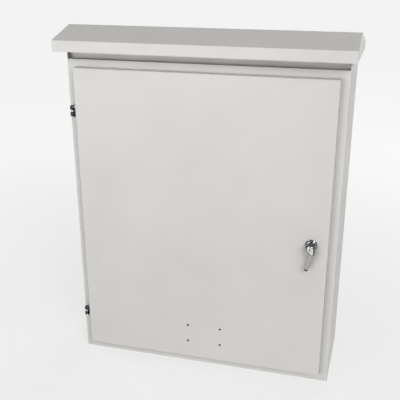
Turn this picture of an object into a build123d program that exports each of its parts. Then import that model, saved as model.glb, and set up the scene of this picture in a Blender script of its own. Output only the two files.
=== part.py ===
"""Outdoor electrical distribution box: a shallow sheet-steel cabinet under a gable rain hood.

A hinged tray door with a quarter-turn lock closes it, and the inside holds a mounting plate with
a main switch, a row of breakers, and the neutral and earth bars.

Millimetres. X runs to the right, Y to the back and Z up. The origin is the centre of the
cabinet's bottom face, and the door faces -Y.
"""

import os

from build123d import *

os.makedirs("parts", exist_ok=True)

# Sheet steel and fits
sheet = 1.5
seat_gap = 0.3  # between painted pieces that sit on each other
running_gap = 0.05  # radial, hinge pins and the lock spindle
thread_gap = 0.02  # radial, pieces that are screwed together
overrun = 4.0  # how far a cut runs past the face that it opens
hex_turn = 30.0  # degrees that bring a hexagon's flats upright

# Cabinet
body_width = 500.0
body_depth = 165.0
ledge_height = 590.0  # bottom to the ledge over the door
neck_setback = 12.0  # cabinet front to the neck wall under the hood
corner_radius = 2.0
wall_hole_radius = 4.5
wall_hole_inset_x = 40.0
wall_hole_inset_z = 45.0

# Rain hood
hood_front_overhang = 34.0
hood_side_overhang = 10.0
hood_rear_overhang = 10.0
eave_rise = 16.0  # ledge to the hood's lower edge
fascia_height = 19.0
rear_fascia_height = 13.0
ridge_height = 40.0  # lower edge to the ridge
ridge_setback = 37.5  # cabinet front to the ridge
hood_return = 6.0  # inward fold along the lower edge
hood_bend = 1.2

# Hood brackets, in the roof space
bracket_sheet = 2.0
bracket_inset = 62.0  # cabinet side to the bracket
bracket_front_setback = 48.0
bracket_back_setback = 14.0
bracket_foot = 22.0
hood_bolt_radius = 3.0
hood_bolt_inset = 16.5  # bracket's ends to the bolts
hood_bolt_flats = 10.0
hood_bolt_head = 4.0

# Door
door_left_margin = 16.0
door_right_margin = 15.0
door_bottom_margin = 18.0
door_top_margin = 13.0
door_fold = 14.0  # depth of the folded edge
door_gap = 1.0  # folded edge to the cabinet front
door_edge_radius = 1.8
lip_inset = 12.0  # door edge to the rain lip round the opening
lip_height = 9.0
seal_width = 9.0
plate_hole_radius = 1.9
plate_hole_spacing_x = 65.0
plate_hole_spacing_z = 35.0
plate_hole_x = 8.0
plate_hole_z = 72.0

# Hinges
hinge_height = 20.6
hinge_axis_inset = 7.0  # cabinet side to the axis
hinge_standoff = 7.0  # cabinet front to the axis
knuckle_radius = 4.6
knuckle_gap = 0.9  # half of what parts the two knuckles
knuckle_rounding = 1.5
hinge_foot_width = 8.0
hinge_leaf_thickness = 4.0
hinge_cap = 2.0
pin_radius = 2.6
pin_head_radius = 3.8
pin_head = 1.5
upper_hinge_drop = 79.0  # door's upper edge to the hinge's middle
lower_hinge_rise = 68.0  # door's lower edge to the hinge's middle

# Lock
lock_inset = 30.0  # door's right edge to the lock's axis
lock_rise = 268.0  # door's lower edge to the lock's axis
rose_radius = 11.2
rose_height = 4.5
rose_rounding = 2.0
sleeve_radius = 9.0
spindle_radius = 5.0
cam_clearance = 0.5  # cabinet front sheet to the cam
lock_nut_flats = 24.0
lock_nut_height = 5.0
boss_radius = 7.8
boss_height = 14.0  # rose to the front of the head
head_lobe_radius = 4.8
head_lobe_shift = 3.6  # axis to the narrow end of the egg-shaped head, to the right
head_lobe_drop = 8.2  # axis to the narrow end of the egg-shaped head, downwards
head_rounding = 2.4
lever_setback = 3.0  # front of the head to the front of the lever
lever_root_radius = 5.9
lever_root_shift = 4.4  # axis to the lever's wide end, to the right
lever_root_drop = 10.0  # axis to the lever's wide end, downwards
lever_length = 32.0  # the lever's wide end to its narrow end
lever_end_radius = 3.7
lever_thickness = 6.5
lever_rounding = 1.6
tip_length = 4.0
lever_lean = 16.3  # degrees the lever is cranked off plumb
plug_radius = 4.6
plug_depth = 11.0
plug_proud = 0.8
key_slot_width = 1.4
key_slot_length = 6.4
key_slot_depth = 5.0
spindle_square = 7.0
cam_thickness = 2.5
cam_width = 16.0
cam_reach = 32.0
cam_screw_radius = 2.0
cam_screw_length = 9.0
cam_screw_head_radius = 5.2
cam_screw_head = 3.0

# Mounting plate
plate_margin_x = 55.0  # cabinet sides to the plate
plate_margin_z = 45.0  # cabinet's bottom and ledge to the plate
plate_sheet = 2.0
plate_fold = 12.0
plate_standoff = 26.0  # back sheet to the plate
plate_stud_inset = 18.0
stud_shoulder_radius = 7.0
stud_radius = 4.0
stud_length = 12.0  # past the plate
nut_flats = 13.0
nut_height = 6.5
nut_flange_radius = 9.0
nut_flange = 1.6

# Rails
rail_margin = 30.0  # plate's edges to the rails' ends
rail_height = 35.0
rail_depth = 7.5
rail_sheet = 1.0
rail_web = 27.0
rail_slot_length = 15.0
rail_slot_width = 6.2
rail_slot_pitch = 25.0
upper_rail_drop = 115.0  # plate's upper edge to the upper rail
rail_spacing = 160.0  # upper rail to the lower one
rail_screw_radius = 2.5
rail_screw_head_radius = 4.5
rail_screw_head = 3.0

# Switch and breakers
module_width = 18.0
breaker_height = 82.0
breaker_nose_height = 45.0
breaker_slope = 5.0  # how far the nose widens down to the shoulders
breaker_nose_depth = 60.0  # rail to the nose
breaker_shoulder_depth = 41.0
clip_depth = 5.0
clip_gap = 0.4
breaker_gap = 0.5  # between neighbours
breaker_rounding = 0.8
breaker_count = 6
main_poles = 4
toggle_hub_radius = 7.0
toggle_sink = 3.0  # hub axis behind the nose
toggle_reach = 17.0
toggle_thickness = 4.6
toggle_width = 7.0
toggle_gap = 0.4
toggle_off_angle = 35.0  # degrees below level
terminal_radius = 3.2
terminal_depth = 9.0

# Neutral and earth bars
bar_length = 130.0
bar_height = 9.0
bar_depth = 7.0
bar_rise = 75.0  # plate's lower edge to the bars
bar_gap = 54.0  # between the two bars
bar_foot_width = 14.0
bar_foot_depth = 24.0
bar_foot_height = 16.0
bar_hole_radius = 2.4
bar_hole_pitch = 12.0
bar_holes = 8
bar_screw_radius = 1.6
bar_screw_length = 4.0
bar_screw_head_radius = 2.9
bar_screw_head = 2.0
bar_fixing_depth = 8.0  # into the foot

# Earth studs
earth_stud_radius = 3.0
earth_stud_length = 15.0
earth_stud_z = 130.0
body_earth_y = -20.0
door_earth_inset = 30.0  # door edge to the stud
earth_nut_flats = 10.0
earth_nut_height = 5.0
earth_washer_radius = 7.0
earth_washer = 1.4

# Cable entry in the bottom
entry_width = 240.0
entry_depth = 60.0
gland_margin = 14.0  # how far the gland plate laps the entry
gland_back_gap = 3.0  # back sheet to the gland plate
gland_sheet = 2.0
gland_gasket_thickness = 2.0
gland_screw_radius = 2.5
gland_screw_head_radius = 4.5
gland_screw_head = 2.6
grommet_pitch = 78.0
grommet_count = 3
grommet_hole_radius = 18.0
grommet_flange = 4.0
grommet_lip = 1.6
grommet_rise = 9.0
grommet_wall = 2.2
grommet_top_share = 0.5

# Places that follow from the sizes
side = body_width / 2
front = -body_depth / 2
back = body_depth / 2
eave = ledge_height + eave_rise
ridge = eave + ridge_height
ridge_y = front + ridge_setback
hood_front = front - hood_front_overhang
hood_rear = back + hood_rear_overhang
hood_side = side + hood_side_overhang
roof_clearance = sheet + seat_gap
wall_hole_spacing_x = body_width - 2 * wall_hole_inset_x
wall_hole_spacing_z = ledge_height - 2 * wall_hole_inset_z
bracket_x = side - bracket_inset
bracket_bolt_x = bracket_x - bracket_foot / 2
bracket_front = front + bracket_front_setback
bracket_back = back - bracket_back_setback
bracket_y = (bracket_front + bracket_back) / 2
hood_bolt_spacing = bracket_back - bracket_front - 2 * hood_bolt_inset

door_width = body_width - door_left_margin - door_right_margin
door_height = ledge_height - door_bottom_margin - door_top_margin
door_x = (door_left_margin - door_right_margin) / 2
door_z = door_bottom_margin + door_height / 2
door_front = front - door_gap - door_fold
door_inside = door_front + sheet
opening_width = door_width - 2 * (lip_inset + sheet)
opening_height = door_height - 2 * (lip_inset + sheet)
seal_thickness = door_gap + door_fold - sheet - lip_height - seat_gap

hinge_x = -side + hinge_axis_inset
hinge_y = front - hinge_standoff
upper_hinge_z = door_bottom_margin + door_height - upper_hinge_drop
lower_hinge_z = door_bottom_margin + lower_hinge_rise
door_left = -side + door_left_margin

lock_x = side - door_right_margin - lock_inset
lock_z = door_bottom_margin + lock_rise
rose_front = door_front - rose_height
boss_front = rose_front - seat_gap - boss_height
cam_front = front + sheet + cam_clearance
cam_back = cam_front + cam_thickness

back_inside = back - sheet
plate_back = back_inside - plate_standoff
plate_front = plate_back - plate_sheet
plate_z = ledge_height / 2
plate_width = body_width - 2 * plate_margin_x
plate_height = ledge_height - 2 * plate_margin_z
stud_spacing_x = plate_width - 2 * plate_stud_inset
stud_spacing_z = plate_height - 2 * plate_stud_inset
rail_length = plate_width - 2 * rail_margin
upper_rail_z = ledge_height - plate_margin_z - upper_rail_drop
lower_rail_z = upper_rail_z - rail_spacing
rail_face = plate_front - rail_depth
rail_flange = (rail_height - rail_web) / 2 + rail_sheet
rail_slots = int(rail_length / rail_slot_pitch)
rail_screw_x = (rail_slots - 1) * rail_slot_pitch / 2
nose = rail_face - breaker_nose_depth
shoulder = rail_face - breaker_shoulder_depth
clip = rail_face + clip_depth
terminal_spacing = breaker_height / 2 + breaker_nose_height / 2 + breaker_slope
toggle_axis_y = nose + toggle_sink
bar_x = (bar_length + bar_gap) / 2
bar_z = plate_margin_z + bar_rise
bar_back = plate_front - bar_foot_depth
bar_front = bar_back - bar_depth
gland_bottom = sheet + gland_gasket_thickness
gland_top = gland_bottom + gland_sheet
gland_width = entry_width + 2 * gland_margin
gland_depth = entry_depth + 2 * gland_margin
entry_y = back_inside - gland_back_gap - gland_depth / 2
gland_screw_x = gland_width - gland_margin
gland_screw_y = gland_depth - gland_margin

front_plane = Plane.XZ.offset(-front)
door_inside_plane = Plane.XZ.offset(-door_inside)
lock_plane = Plane((lock_x, door_front, lock_z), x_dir=(1, 0, 0), z_dir=(0, -1, 0))


def gable(bottom):
    """Outline of the hood in depth and height, closed along a level bottom."""
    return (
        (hood_front, bottom),
        (hood_front, eave + fascia_height),
        (ridge_y, ridge),
        (hood_rear, eave + rear_fascia_height),
        (hood_rear, bottom),
    )


def under_roof(front_y, back_y, bottom):
    """Face of the space under the roof sheet, between two depths and above a height."""
    with BuildSketch(Plane.YZ) as space:
        with BuildLine():
            Polyline(*gable(bottom - roof_clearance - overrun), close=True)
        make_face()
        offset(amount=-roof_clearance, kind=Kind.INTERSECTION)
        with Locations(((front_y + back_y) / 2, (bottom + ridge) / 2)):
            Rectangle(back_y - front_y, ridge - bottom, mode=Mode.INTERSECT)
    return space.sketch


# Cabinet: wrapped sides, bottom and back, a front frame with a forward rain lip round the
# opening, a ledge over the door, and a neck of four walls that rises into the hood
roof_walls = under_roof(front, back, ledge_height - sheet)
with BuildPart() as cabinet_body:
    with BuildSketch():
        Rectangle(body_width, body_depth)
    extrude(amount=ledge_height)
    extrude(roof_walls, amount=side, both=True)
    fillet(cabinet_body.edges().filter_by(Axis.Z), radius=corner_radius)
    with BuildSketch(Plane.XY.offset(sheet)):
        Rectangle(body_width - 2 * sheet, body_depth - 2 * sheet)
    extrude(amount=ledge_height - 2 * sheet, mode=Mode.SUBTRACT)
    with BuildSketch(Plane.XY.offset(ledge_height)):
        with Locations((0, front + neck_setback / 2)):
            Rectangle(body_width - 2 * sheet, neck_setback)
        with Locations((0, neck_setback / 2)):
            Rectangle(body_width - 2 * sheet, body_depth - neck_setback - 2 * sheet)
    extrude(amount=ridge - ledge_height, mode=Mode.SUBTRACT)
    with BuildSketch(front_plane):
        with Locations((door_x, door_z)):
            Rectangle(opening_width + 2 * sheet, opening_height + 2 * sheet)
    extrude(amount=lip_height)
    with BuildSketch(front_plane.offset(lip_height)):
        with Locations((door_x, door_z)):
            Rectangle(opening_width, opening_height)
    extrude(amount=-lip_height - sheet, mode=Mode.SUBTRACT)
    with BuildSketch(Plane.XZ.offset(-back)):
        with Locations((0, plate_z)):
            with GridLocations(wall_hole_spacing_x, wall_hole_spacing_z, 2, 2):
                Circle(wall_hole_radius)
    extrude(amount=sheet, mode=Mode.SUBTRACT)
    with BuildSketch(Plane((0, entry_y, 0))):
        Rectangle(entry_width, entry_depth)
        with GridLocations(gland_screw_x, gland_screw_y, 2, 2):
            Circle(gland_screw_radius + thread_gap)
    extrude(amount=sheet, mode=Mode.SUBTRACT)
    with BuildSketch(Plane.XY.offset(ledge_height)):
        with Locations((0, bracket_y)):
            with GridLocations(2 * bracket_bolt_x, hood_bolt_spacing, 2, 2):
                Circle(hood_bolt_radius + thread_gap)
    extrude(amount=-sheet, mode=Mode.SUBTRACT)
cabinet_body.part.label = "cabinet_body"
export_step(cabinet_body.part, "parts/cabinet_body.step")

# Rain hood: one folded sheet with closed ends and an inward return along its lower edge
with BuildPart() as rain_hood:
    with BuildSketch(Plane.YZ):
        with BuildLine():
            Polyline(*gable(eave), close=True)
        make_face()
    extrude(amount=hood_side, both=True)
    fillet(
        rain_hood.edges().filter_by(Axis.X).filter_by(lambda edge: edge.center().Z > eave),
        radius=hood_bend,
    )
    with BuildSketch(Plane.YZ):
        with BuildLine():
            Polyline(*gable(eave), close=True)
        make_face()
        offset(amount=-sheet, kind=Kind.INTERSECTION)
    extrude(amount=hood_side - sheet, both=True, mode=Mode.SUBTRACT)
    with BuildSketch(Plane.XY.offset(eave)):
        with Locations((0, (hood_front + hood_rear) / 2)):
            Rectangle(
                2 * (hood_side - hood_return), hood_rear - hood_front - 2 * hood_return
            )
    extrude(amount=sheet, mode=Mode.SUBTRACT)
rain_hood.part.label = "rain_hood"
export_step(rain_hood.part, "parts/rain_hood.step")

# Hood brackets: angle pieces that stand on the ledge and carry the hood's underside
bracket_web = under_roof(bracket_front, bracket_back, ledge_height)
with BuildPart() as hood_brackets:
    extrude(bracket_web.moved(Pos(bracket_x, 0, 0)), amount=bracket_sheet)
    with BuildSketch(Plane.XY.offset(ledge_height)):
        with Locations((bracket_bolt_x, bracket_y)):
            Rectangle(bracket_foot, bracket_back - bracket_front)
            with GridLocations(0, hood_bolt_spacing, 1, 2):
                Circle(hood_bolt_radius + thread_gap, mode=Mode.SUBTRACT)
    extrude(amount=bracket_sheet)
    mirror(about=Plane.YZ)
hood_brackets.part.label = "hood_brackets"
export_step(hood_brackets.part, "parts/hood_brackets.step")

# Bolts that hold the brackets, with their heads under the ledge and nuts in the roof space
hood_bolt_length = sheet + bracket_sheet + 2 * hood_bolt_head
with BuildPart() as hood_bolts:
    with BuildSketch(Plane.XY.offset(ledge_height - sheet)):
        with Locations((0, bracket_y)):
            with GridLocations(2 * bracket_bolt_x, hood_bolt_spacing, 2, 2):
                RegularPolygon(hood_bolt_flats / 2, 6, major_radius=False)
    extrude(amount=-hood_bolt_head)
    with BuildSketch(Plane.XY.offset(ledge_height - sheet)):
        with Locations((0, bracket_y)):
            with GridLocations(2 * bracket_bolt_x, hood_bolt_spacing, 2, 2):
                Circle(hood_bolt_radius)
    extrude(amount=hood_bolt_length)
hood_bolts.part.label = "hood_bolts"
export_step(hood_bolts.part, "parts/hood_bolts.step")

with BuildPart() as hood_nuts:
    with BuildSketch(Plane.XY.offset(ledge_height + bracket_sheet)):
        with Locations((0, bracket_y)):
            with GridLocations(2 * bracket_bolt_x, hood_bolt_spacing, 2, 2):
                RegularPolygon(hood_bolt_flats / 2, 6, major_radius=False)
                Circle(hood_bolt_radius + thread_gap, mode=Mode.SUBTRACT)
    extrude(amount=hood_bolt_head)
hood_nuts.part.label = "hood_nuts"
export_step(hood_nuts.part, "parts/hood_nuts.step")

# Door: a tray folded from one sheet, with the lock hole and four holes for a plate
with BuildPart() as door_panel:
    with BuildSketch(front_plane.offset(door_gap)):
        with Locations((door_x, door_z)):
            Rectangle(door_width, door_height)
    extrude(amount=door_fold)
    fillet(door_panel.edges().filter_by(Axis.Y), radius=door_edge_radius)
    fillet(door_panel.faces().sort_by(Axis.Y)[0].edges(), radius=door_edge_radius)
    with BuildSketch(front_plane.offset(door_gap)):
        with Locations((door_x, door_z)):
            Rectangle(door_width - 2 * sheet, door_height - 2 * sheet)
    extrude(amount=door_fold - sheet, mode=Mode.SUBTRACT)
    with BuildSketch(door_inside_plane):
        with Locations((lock_x, lock_z)):
            Circle(sleeve_radius + thread_gap)
        with Locations((plate_hole_x, plate_hole_z)):
            with GridLocations(plate_hole_spacing_x, plate_hole_spacing_z, 2, 2):
                Circle(plate_hole_radius)
    extrude(amount=sheet, mode=Mode.SUBTRACT)
door_panel.part.label = "door_panel"
export_step(door_panel.part, "parts/door_panel.step")

# Seal: a foam strip on the door, against the edge of the rain lip
with BuildPart() as door_seal:
    with BuildSketch(door_inside_plane):
        with Locations((door_x, door_z)):
            Rectangle(opening_width + sheet + seal_width, opening_height + sheet + seal_width)
            Rectangle(
                opening_width + sheet - seal_width,
                opening_height + sheet - seal_width,
                mode=Mode.SUBTRACT,
            )
    extrude(amount=-seal_thickness)
door_seal.part.label = "door_seal"
export_step(door_seal.part, "parts/door_seal.step")

# Hinges: a lower knuckle on the cabinet, an upper knuckle on the door and a headed pin
knuckle_height = hinge_height / 2 - knuckle_gap
for hinge, hinge_z in (("upper", upper_hinge_z), ("lower", lower_hinge_z)):
    hinge_bottom = hinge_z - hinge_height / 2
    hinge_top = hinge_z + hinge_height / 2
    with BuildPart() as hinge_base:
        with BuildSketch(Plane.XY.offset(hinge_bottom)):
            with Locations((hinge_x, hinge_y)):
                Circle(knuckle_radius)
            with Locations((hinge_x, hinge_y + hinge_standoff / 2)):
                Rectangle(hinge_foot_width, hinge_standoff)
        extrude(amount=knuckle_height)
        with BuildSketch(Plane.XY.offset(hinge_bottom)):
            with Locations((hinge_x, hinge_y)):
                Circle(pin_radius + thread_gap)
        extrude(amount=knuckle_height, mode=Mode.SUBTRACT)
    hinge_base.part.label = f"{hinge}_hinge_base"
    export_step(hinge_base.part, f"parts/{hinge}_hinge_base.step")

    with BuildPart() as hinge_leaf:
        with BuildSketch(Plane.XY.offset(hinge_top)):
            with Locations((hinge_x, hinge_y)):
                Circle(knuckle_radius)
            with Locations(((hinge_x + door_left) / 2, hinge_y)):
                Rectangle(door_left - hinge_x, hinge_leaf_thickness)
        extrude(amount=-knuckle_height)
        fillet(
            hinge_leaf.faces().sort_by(Axis.Z)[-1].edges().filter_by(GeomType.CIRCLE),
            radius=knuckle_rounding,
        )
        with BuildSketch(Plane.XY.offset(hinge_top - knuckle_height)):
            with Locations((hinge_x, hinge_y)):
                Circle(pin_radius + running_gap)
        extrude(amount=knuckle_height - hinge_cap, mode=Mode.SUBTRACT)
    hinge_leaf.part.label = f"{hinge}_hinge_leaf"
    export_step(hinge_leaf.part, f"parts/{hinge}_hinge_leaf.step")

    with BuildPart() as hinge_pin:
        with BuildSketch(Plane.XY.offset(hinge_bottom)):
            with Locations((hinge_x, hinge_y)):
                Circle(pin_radius)
        extrude(amount=hinge_height - hinge_cap - seat_gap)
        with BuildSketch(Plane.XY.offset(hinge_bottom)):
            with Locations((hinge_x, hinge_y)):
                Circle(pin_head_radius)
        extrude(amount=-pin_head)
    hinge_pin.part.label = f"{hinge}_hinge_pin"
    export_step(hinge_pin.part, f"parts/{hinge}_hinge_pin.step")

# Lock body: a round rose outside and a sleeve through the door
with BuildPart() as lock_body:
    with BuildSketch(lock_plane):
        Circle(rose_radius)
    extrude(amount=rose_height)
    fillet(lock_body.faces().sort_by(Axis.Y)[0].edges(), radius=rose_rounding)
    with BuildSketch(lock_plane):
        Circle(sleeve_radius)
    extrude(amount=door_front - cam_front + seat_gap)
    with BuildSketch(lock_plane.offset(rose_height)):
        Circle(spindle_radius + running_gap)
    extrude(amount=rose_front - cam_front, mode=Mode.SUBTRACT)
lock_body.part.label = "lock_body"
export_step(lock_body.part, "parts/lock_body.step")

with BuildPart() as lock_nut:
    with BuildSketch(lock_plane.offset(-sheet)):
        RegularPolygon(lock_nut_flats / 2, 6, major_radius=False, rotation=hex_turn)
        Circle(sleeve_radius + thread_gap, mode=Mode.SUBTRACT)
    extrude(amount=-lock_nut_height)
lock_nut.part.label = "lock_nut"
export_step(lock_nut.part, "parts/lock_nut.step")

# Handle: an egg-shaped head with a cranked lever, on a spindle that ends in a square for the cam
head_plane = lock_plane.offset(door_front - boss_front)
head_back_plane = head_plane.offset(-lever_setback - lever_thickness)
lever_plane = Plane(
    head_plane.from_local_coords(Vector(lever_root_shift, -lever_root_drop, -lever_setback)),
    x_dir=lock_plane.x_dir.rotate(Axis.Y, lever_lean),
    z_dir=lock_plane.z_dir,
)
cam_plane = lock_plane.offset(door_front - cam_front)
cam_back_plane = lock_plane.offset(door_front - cam_back)
tip_top = tip_length - lever_length - lever_end_radius
tip_plane = Plane(
    lever_plane.from_local_coords(Vector(0, tip_top, 0)),
    x_dir=lever_plane.x_dir,
    z_dir=lever_plane.y_dir,
)
with BuildSketch(lever_plane) as lever_outline:
    Circle(lever_root_radius)
    with Locations((0, -lever_length)):
        Circle(lever_end_radius)
    make_hull()
with BuildSketch(head_plane) as head_outline:
    Circle(boss_radius)
    with Locations((head_lobe_shift, -head_lobe_drop)):
        Circle(head_lobe_radius)
    make_hull()
with BuildPart() as lock_handle:
    extrude(lever_outline.sketch, amount=-lever_thickness)
    fillet(lock_handle.faces().sort_by(Axis.Y)[0].edges(), radius=lever_rounding)
    split(bisect_by=tip_plane, keep=Keep.TOP)
    extrude(head_outline.sketch, amount=-lever_setback - lever_thickness)
    fillet(lock_handle.faces().sort_by(Axis.Y)[0].edges(), radius=head_rounding)
    with BuildSketch(head_back_plane):
        Circle(boss_radius)
    extrude(amount=lever_setback + lever_thickness - boss_height)
    with BuildSketch(head_plane):
        Circle(plug_radius + running_gap)
    extrude(amount=-plug_depth, mode=Mode.SUBTRACT)
    with BuildSketch(head_plane.offset(-boss_height)):
        Circle(spindle_radius)
    extrude(amount=boss_front + boss_height - cam_front)
    with BuildSketch(cam_plane):
        Rectangle(spindle_square, spindle_square)
    extrude(amount=-cam_thickness)
    with BuildSketch(cam_back_plane):
        Circle(cam_screw_radius + thread_gap)
    extrude(amount=cam_screw_length, mode=Mode.SUBTRACT)
lock_handle.part.label = "lock_handle"
export_step(lock_handle.part, "parts/lock_handle.step")

# Handle tip: a dark moulded end on the lever
with BuildPart() as handle_tip:
    extrude(lever_outline.sketch, amount=-lever_thickness)
    fillet(handle_tip.faces().sort_by(Axis.Y)[0].edges(), radius=lever_rounding)
    split(bisect_by=tip_plane, keep=Keep.BOTTOM)
handle_tip.part.label = "handle_tip"
export_step(handle_tip.part, "parts/handle_tip.step")

# Key plug: turns in the handle's head
with BuildPart() as key_plug:
    with BuildSketch(head_plane.offset(plug_proud)):
        Circle(plug_radius)
    extrude(amount=seat_gap - plug_proud - plug_depth)
    with BuildSketch(head_plane.offset(plug_proud)):
        Rectangle(key_slot_width, key_slot_length)
    extrude(amount=-key_slot_depth, mode=Mode.SUBTRACT)
key_plug.part.label = "key_plug"
export_step(key_plug.part, "parts/key_plug.step")

# Cam: stands up at rest, and turns behind the front frame when the handle turns
with BuildPart() as lock_cam:
    with BuildSketch(cam_plane):
        Circle(cam_width / 2)
        with Locations((0, cam_reach / 2)):
            Rectangle(cam_width, cam_reach)
        square_hole = spindle_square + 2 * thread_gap
        Rectangle(square_hole, square_hole, mode=Mode.SUBTRACT)
    extrude(amount=-cam_thickness)
lock_cam.part.label = "lock_cam"
export_step(lock_cam.part, "parts/lock_cam.step")

with BuildPart() as cam_screw:
    with BuildSketch(cam_back_plane):
        Circle(cam_screw_head_radius)
    extrude(amount=-cam_screw_head)
    with BuildSketch(cam_back_plane):
        Circle(cam_screw_radius)
    extrude(amount=cam_screw_length - seat_gap)
cam_screw.part.label = "cam_screw"
export_step(cam_screw.part, "parts/cam_screw.step")

# Mounting plate: sheet with its upright edges folded back, on four shouldered studs
plate_back_plane = Plane.XZ.offset(-plate_back)
plate_front_plane = Plane.XZ.offset(-plate_front)
with BuildPart() as mounting_plate:
    with BuildSketch(plate_back_plane):
        with Locations((0, plate_z)):
            Rectangle(plate_width, plate_height)
    extrude(amount=plate_sheet)
    with BuildSketch(plate_back_plane):
        with Locations((0, plate_z)):
            with GridLocations(plate_width - plate_sheet, 0, 2, 1):
                Rectangle(plate_sheet, plate_height)
    extrude(amount=-plate_fold)
    with BuildSketch(plate_back_plane):
        with Locations((0, plate_z)):
            with GridLocations(stud_spacing_x, stud_spacing_z, 2, 2):
                Circle(stud_radius + thread_gap)
        for rail_z in (upper_rail_z, lower_rail_z):
            with Locations((0, rail_z)):
                with GridLocations(2 * rail_screw_x, 0, 2, 1):
                    Circle(rail_screw_radius + thread_gap)
    extrude(amount=plate_sheet, mode=Mode.SUBTRACT)
mounting_plate.part.label = "mounting_plate"
export_step(mounting_plate.part, "parts/mounting_plate.step")

with BuildPart() as plate_studs:
    with BuildSketch(Plane.XZ.offset(-back_inside)):
        with Locations((0, plate_z)):
            with GridLocations(stud_spacing_x, stud_spacing_z, 2, 2):
                Circle(stud_shoulder_radius)
    extrude(amount=plate_standoff)
    with BuildSketch(plate_back_plane):
        with Locations((0, plate_z)):
            with GridLocations(stud_spacing_x, stud_spacing_z, 2, 2):
                Circle(stud_radius)
    extrude(amount=plate_sheet + stud_length)
plate_studs.part.label = "plate_studs"
export_step(plate_studs.part, "parts/plate_studs.step")

with BuildPart() as plate_nuts:
    with BuildSketch(plate_front_plane):
        with Locations((0, plate_z)):
            with GridLocations(stud_spacing_x, stud_spacing_z, 2, 2):
                Circle(nut_flange_radius)
    extrude(amount=nut_flange)
    with BuildSketch(plate_front_plane):
        with Locations((0, plate_z)):
            with GridLocations(stud_spacing_x, stud_spacing_z, 2, 2):
                RegularPolygon(nut_flats / 2, 6, major_radius=False)
    extrude(amount=nut_height)
    with BuildSketch(plate_front_plane):
        with Locations((0, plate_z)):
            with GridLocations(stud_spacing_x, stud_spacing_z, 2, 2):
                Circle(stud_radius + thread_gap)
    extrude(amount=nut_height, mode=Mode.SUBTRACT)
plate_nuts.part.label = "plate_nuts"
export_step(plate_nuts.part, "parts/plate_nuts.step")

# Rails: slotted top-hat sections along the plate
for rail, rail_z in (("upper", upper_rail_z), ("lower", lower_rail_z)):
    with BuildPart() as mounting_rail:
        with BuildSketch(Plane.YZ):
            with Locations((plate_front - rail_sheet / 2, rail_z)):
                Rectangle(rail_sheet, rail_web)
            with Locations((plate_front - rail_depth / 2, rail_z)):
                with GridLocations(0, rail_web - rail_sheet, 1, 2):
                    Rectangle(rail_depth, rail_sheet)
            with Locations((rail_face + rail_sheet / 2, rail_z)):
                with GridLocations(0, rail_height - rail_flange, 1, 2):
                    Rectangle(rail_sheet, rail_flange)
        extrude(amount=rail_length / 2, both=True)
        with BuildSketch(plate_front_plane):
            with Locations((0, rail_z)):
                with GridLocations(rail_slot_pitch, 0, rail_slots, 1):
                    SlotOverall(rail_slot_length, rail_slot_width)
        extrude(amount=rail_sheet, mode=Mode.SUBTRACT)
    mounting_rail.part.label = f"{rail}_rail"
    export_step(mounting_rail.part, f"parts/{rail}_rail.step")

with BuildPart() as rail_screws:
    for rail_z in (upper_rail_z, lower_rail_z):
        with BuildSketch(plate_front_plane.offset(rail_sheet)):
            with Locations((0, rail_z)):
                with GridLocations(2 * rail_screw_x, 0, 2, 1):
                    Circle(rail_screw_head_radius)
        extrude(amount=rail_screw_head)
        with BuildSketch(plate_front_plane.offset(rail_sheet)):
            with Locations((0, rail_z)):
                with GridLocations(2 * rail_screw_x, 0, 2, 1):
                    Circle(rail_screw_radius)
        extrude(amount=-rail_sheet - plate_sheet)
rail_screws.part.label = "rail_screws"
export_step(rail_screws.part, "parts/rail_screws.step")


def switch_body(centre_x, centre_z, poles, lever_width):
    """Moulded case on a rail, with a raised nose, terminal holes and a pocket for its toggle."""
    width = poles * module_width - breaker_gap
    nose_edge = breaker_nose_height / 2
    slope_edge = nose_edge + breaker_slope
    clip_edge = rail_height / 2 + clip_gap
    half_outline = (
        (rail_face, 0),
        (rail_face, clip_edge),
        (clip, clip_edge),
        (clip, breaker_height / 2),
        (shoulder, breaker_height / 2),
        (shoulder, slope_edge),
        (nose, nose_edge),
        (nose, 0),
    )
    pocket_width = lever_width + 2 * toggle_gap
    case_plane = Plane((centre_x, 0, centre_z), x_dir=(0, 1, 0), z_dir=(1, 0, 0))
    with BuildPart() as case:
        with BuildSketch(case_plane):
            with BuildLine():
                Polyline(*half_outline)
                mirror(about=Plane.XZ)
            make_face()
        extrude(amount=width / 2, both=True)
        fillet(case.edges().filter_by(Axis.X).group_by(Axis.Y)[0], radius=breaker_rounding)
        with BuildSketch(case_plane):
            with Locations((toggle_axis_y, 0)):
                Circle(toggle_hub_radius + toggle_gap)
        extrude(amount=pocket_width / 2, both=True, mode=Mode.SUBTRACT)
        with BuildSketch(Plane.XZ.offset(-shoulder)):
            with Locations((centre_x, centre_z)):
                with GridLocations(module_width, terminal_spacing, poles, 2):
                    Circle(terminal_radius)
        extrude(amount=-terminal_depth, mode=Mode.SUBTRACT)
    return case


def switch_toggle(centre_x, centre_z, lever_width):
    """Toggle with a round hub and a flat lever, at rest in its lower position."""
    hub_plane = Plane(
        (centre_x, toggle_axis_y, centre_z), x_dir=(0, 1, 0), z_dir=(1, 0, 0)
    )
    with BuildPart() as toggle:
        with BuildSketch(hub_plane):
            Circle(toggle_hub_radius)
            with PolarLocations(toggle_reach / 2, 1, start_angle=180 + toggle_off_angle):
                Rectangle(toggle_reach, toggle_thickness)
        extrude(amount=lever_width / 2, both=True)
        lever_edges = toggle.edges().filter_by(Axis.X).sort_by_distance(hub_plane.origin)
        fillet(lever_edges[-2:], radius=breaker_rounding)
    return toggle


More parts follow.
